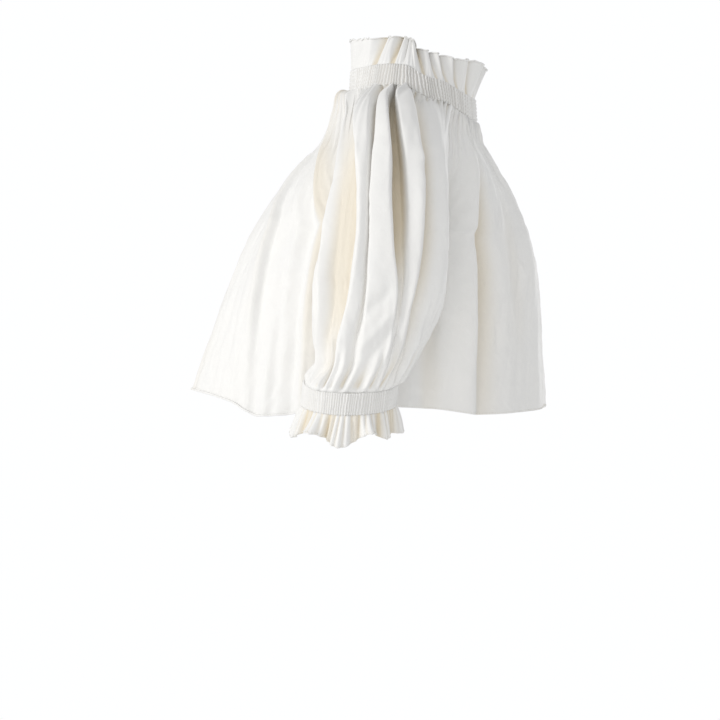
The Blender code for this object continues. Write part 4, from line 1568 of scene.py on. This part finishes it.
@dataclass(frozen=True)
class CuffRuffleForm:
    """The ruffle below a cuff band."""

    cuff: CuffForm = CuffForm()
    pleats: int = 46
    height: float = 30 * MM
    overlap: float = 0.4 * MM
    pleat_depth: float = 2.8 * MM
    base_out: float = 1.1 * MM
    sweep: tuple[tuple[float, float, float], ...] = CUFF_RUFFLE_SWEEP

    def read(self, index: int, angle: Grid) -> Grid:
        """A column of the sweep.

        Args:
            index: 1 for how far down the edge hangs, 2 for how far out it swings.
            angle: Angles round the cuff.

        Returns:
            The values.
        """
        places = column(self.sweep, 0) + [self.sweep[0][0] + 360]
        values = column(self.sweep, index) + [self.sweep[0][index]]
        return eased(places, values, (angle + 100) % 360 - 100)

    def pleat(self, angle: Grid) -> Grid:
        """The small pleats' wave, from -1 to 1."""
        turn = np.radians(angle)
        return np.sin(self.pleats * turn + 1.6 * np.sin(5 * turn + 0.7) + 1.1 * np.sin(11 * turn + 2.1))

    def painted_shade(self, angle: Grid, beyond: Grid) -> Grid:
        """Painted shade where the ruffle hangs close to the cuff and in the hollows of its pleats: how far each point's
        colour is darkened.
        """
        low = 1 - smooth_step(2, 9, self.read(2, angle))
        return np.clip(0.75 * low + 0.6 * smooth_step(0.0, 1, -self.pleat(angle)) * (1 - 0.6 * beyond), 0, 1)

    def point(self, angle: Grid, beyond: Grid) -> Grid:
        """Points of the ruffle below the cuff.

        Args:
            angle: Angles round the cuff.
            beyond: Places from the band at 0 to the free edge at 1.

        Returns:
            The points.
        """
        hang, swing = self.read(1, angle), self.read(2, angle) * MM
        pleat = self.pleat(angle) * (self.pleat_depth * np.sqrt(beyond) * (1 - 0.4 * beyond))
        curl = (1 - hang) * 12 * MM * beyond**3
        out = self.base_out + swing * beyond**0.8 + curl + pleat
        reach = beyond * hang + (1 - hang) * 0.35 * beyond * (1 - beyond)
        down = self.cuff.band_height - self.overlap + self.height * reach
        turned = angle[None, :] + 2.5 * np.sin(np.radians(angle) * 9 + 0.8) * beyond
        return self.cuff.point(turned, down, out)


@dataclass
class Ruffle:
    """A ruffle that stands out beyond a band and ends in a narrow rolled edge."""

    name: str
    node: str
    form: NeckRuffleForm | CuffRuffleForm
    columns: int
    cut: Cut
    rows: int = 14
    wall: float = 0.7 * MM
    roll: float = 0.7 * MM
    roll_rows: int = 5
    pitch: float = 3.4 * MM
    mirror: bool = False
    sewn: list[Stitches] = field(default_factory=list)

    def build(self, finishes: Finishes) -> bpy.types.Object:
        """Makes and dresses the ruffle, and places the stitches of its rolled edge.

        Args:
            finishes: The finishes that the pieces share.

        Returns:
            The ruffle.
        """
        angle = np.arange(self.columns) * 360 / self.columns
        beyond = np.linspace(0, 1, self.rows)[:, None]
        grid = self.form.point(angle, beyond)
        # the painted shade from the ruffle's form, which darkens the colour in its folds
        painted_shade = np.broadcast_to(self.form.painted_shade(angle, beyond), grid.shape[:2])
        if self.mirror:
            grid, painted_shade = (grid * np.array([-1, 1, 1]))[:, ::-1], painted_shade[:, ::-1]
        LOG.info("%s cloth %.3f m2", self.name, surface_of(grid, True))
        self.sewn = [overlocked(grid, True, self.pitch, self.wall)]
        grid = rolled_edge(grid, True, self.roll, self.roll_rows)
        painted_shade = np.concatenate([painted_shade, np.repeat(painted_shade[-1:], self.roll_rows, axis=0)])
        piece = cloth(self.name, grid, True, painted_shade, self.wall)
        dress(piece, self.node, finishes.poplin, self.cut)
        return piece


# ---------------------------------------------------------------- the studio


@dataclass
class Studio:
    """The pale floor, the soft lights and the camera."""

    floor_height: float = -1.40
    eye: tuple[float, float, float] = (3.0, -0.0612, -0.324)
    lens: float = 125.0
    # name, place, size, watts, warmth
    softboxes: tuple[tuple[str, tuple[float, float, float], float, float, float], ...] = (
        ("key_softbox", (1.2, -2.5, 0.5), 1.1, 30.0, 0.3),
        ("back_rim", (-2.3, 1.9, 0.1), 1.4, 34.0, 0.0),
        ("side_fill", (3.1, -0.3, -0.3), 1.6, 14.0, 0.2),
    )

    def floor(self) -> None:
        """Adds the plain pale floor."""
        bpy.ops.object.select_all(action="DESELECT")
        bpy.ops.mesh.primitive_plane_add(size=7.0, location=(0, 0, self.floor_height))
        floor = bpy.context.active_object
        bpy.ops.object.transform_apply(location=True, rotation=True, scale=True)
        floor.name = "studio_floor"
        floor.data.materials.append(FloorFinish().make())

    def softbox(self, name: str, place: tuple[float, float, float], size: float, watts: float, warm: float) -> None:
        """Adds a soft square light that looks at the garment's middle.

        Args:
            name: The light's name.
            place: Where it stands, in metres.
            size: Its width, in metres.
            watts: Its power.
            warm: How warm its light is, where 0 is plain white.
        """
        light = bpy.data.lights.new(name, "AREA")
        light.shape = "SQUARE"
        light.size = size
        light.energy = watts
        light.color = (1.0, 1.0 - 0.06 * warm, 1.0 - 0.14 * warm)
        lamp = bpy.data.objects.new(name, light)
        lamp.location = place
        aim = Vector((0.05, -0.05, -0.2)) - Vector(place)
        lamp.rotation_euler = aim.to_track_quat("-Z", "Y").to_euler()
        bpy.context.scene.collection.objects.link(lamp)

    def surround(self) -> None:
        """Sets the pale surround, which the camera sees brighter than the light it gives."""
        world = bpy.data.worlds.new("pale_surround")
        world.use_nodes = True
        graph = Graph(world.node_tree)
        background = world.node_tree.nodes["Background"]
        seen = graph.read("ShaderNodeLightPath", "Is Camera Ray")
        background.inputs["Color"].default_value = (0.985, 0.99, 1.0, 1)
        strength = seen * 0.38 + 0.63
        graph.tree.links.new(strength.socket, background.inputs["Strength"])
        bpy.context.scene.world = world

    def camera(self) -> None:
        """Adds the camera, level and square to the wearer's left side."""
        data = bpy.data.cameras.new("side_camera")
        data.lens = self.lens
        data.sensor_width = 36.0
        camera = bpy.data.objects.new("side_camera", data)
        camera.location = self.eye
        camera.rotation_euler = Vector((-1, 0, 0)).to_track_quat("-Z", "Y").to_euler()
        bpy.context.scene.collection.objects.link(camera)
        bpy.context.scene.camera = camera

    def build(self) -> None:
        """Sets up the whole studio."""
        self.camera()
        self.floor()
        for softbox in self.softboxes:
            self.softbox(*softbox)
        self.surround()
        bpy.context.scene.view_settings.view_transform = "Standard"


# ---------------------------------------------------------------- the garment


@dataclass
class SmockTop:
    """The whole garment."""

    body: BodyForm = field(default_factory=BodyForm)
    neck: NeckForm = field(default_factory=NeckForm)
    cuff: CuffForm = field(default_factory=CuffForm)

    def panels(self) -> list[BodyPanel]:
        """The front and the back of the body."""
        body = self.body
        hung = ("neck_band", "left_sleeve", "right_sleeve")
        return [
            BodyPanel(
                "front_panel_cloth",
                lambda down: body.raglan(down, body.raglan_front),
                lambda down: -180 - body.raglan(down, body.raglan_front),
                FRONT_FOLDS,
                Cut((0.74, 0.40), hung, 0.20),
                30,
                11,
            ),
            BodyPanel(
                "back_panel_cloth",
                lambda down: body.raglan(down, body.raglan_back),
                lambda down: 180 - body.raglan(down, body.raglan_back),
                BACK_FOLDS,
                Cut((0.64, 0.38), hung, 0.17),
                38,
                23,
            ),
        ]

    def sleeves(self) -> list[Sleeve]:
        """Both sleeves."""
        hung = ("neck_band", "front_panel", "back_panel")
        cut = Cut((0.60, 0.44), hung, 0.20)
        return [
            Sleeve(Side.LEFT, LEFT_SLEEVE_FOLDS, cut, 31),
            Sleeve(Side.RIGHT, LEFT_SLEEVE_FOLDS.varied(5, 3.0), cut, 47),
        ]

    def bands(self) -> list[ShirredBand]:
        """The neck band and both cuff bands."""
        made = [
            ShirredBand(
                "neck_band_cloth", "neck_band", self.neck.point, 128, self.neck.band_height,
                -self.neck.band_height / 2, Cut((0.72, 0.027), ("front_panel", "back_panel")), 3,
            )
        ]
        for side in Side:
            name = f"{side.name.lower()}_cuff_band"
            made.append(
                ShirredBand(
                    f"{name}_cloth", name, self.cuff.point, 112, self.cuff.band_height, 0.0,
                    Cut((0.36, 0.026), (f"{side.name.lower()}_sleeve",)), 7, rib_height=1.5 * MM,
                    slant=1.5, per_rib=6, painted_groove_strength=0.28, mirror=side is Side.RIGHT,
                )
            )
        return made

    def ruffles(self) -> list[Ruffle]:
        """The neck ruffle and both cuff ruffles."""
        made = [
            Ruffle("neck_ruffle_cloth", "neck_ruffle", NeckRuffleForm(self.neck), 620,
                   Cut((0.78, 0.038), ("neck_band",)), 16)
        ]
        for side in Side:
            name = f"{side.name.lower()}_cuff_ruffle"
            made.append(
                Ruffle(f"{name}_cloth", name, CuffRuffleForm(self.cuff), 420,
                       Cut((0.48, 0.032), (f"{side.name.lower()}_cuff_band",)), 13, mirror=side is Side.RIGHT)
            )
        return made

    def build(self, finishes: Finishes) -> None:
        """Makes every piece, sews it and reports it.

        Args:
            finishes: The finishes that the pieces share.
        """
        sewing = Sewing()
        for part in (*self.panels(), *self.sleeves(), *self.bands(), *self.ruffles()):
            piece = part.build(finishes)
            LOG.info("made %s with %d faces", piece.name, len(piece.data.polygons))
            if part.sewn:
                name = piece.name.replace("_cloth", "_stitches")
                sewn = sewing.sew(name, part.sewn, 0.5 if isinstance(part, ShirredBand) else 1.0)
                LOG.info("sewed %s with %d faces", sewn.name, len(sewn.data.polygons))


def main() -> None:
    """Builds the garment and its studio."""
    logging.basicConfig(level=logging.INFO, format="%(name)s: %(message)s")
    SmockTop().build(Finishes())
    Studio().build()


if __name__ == "__main__":
    main()
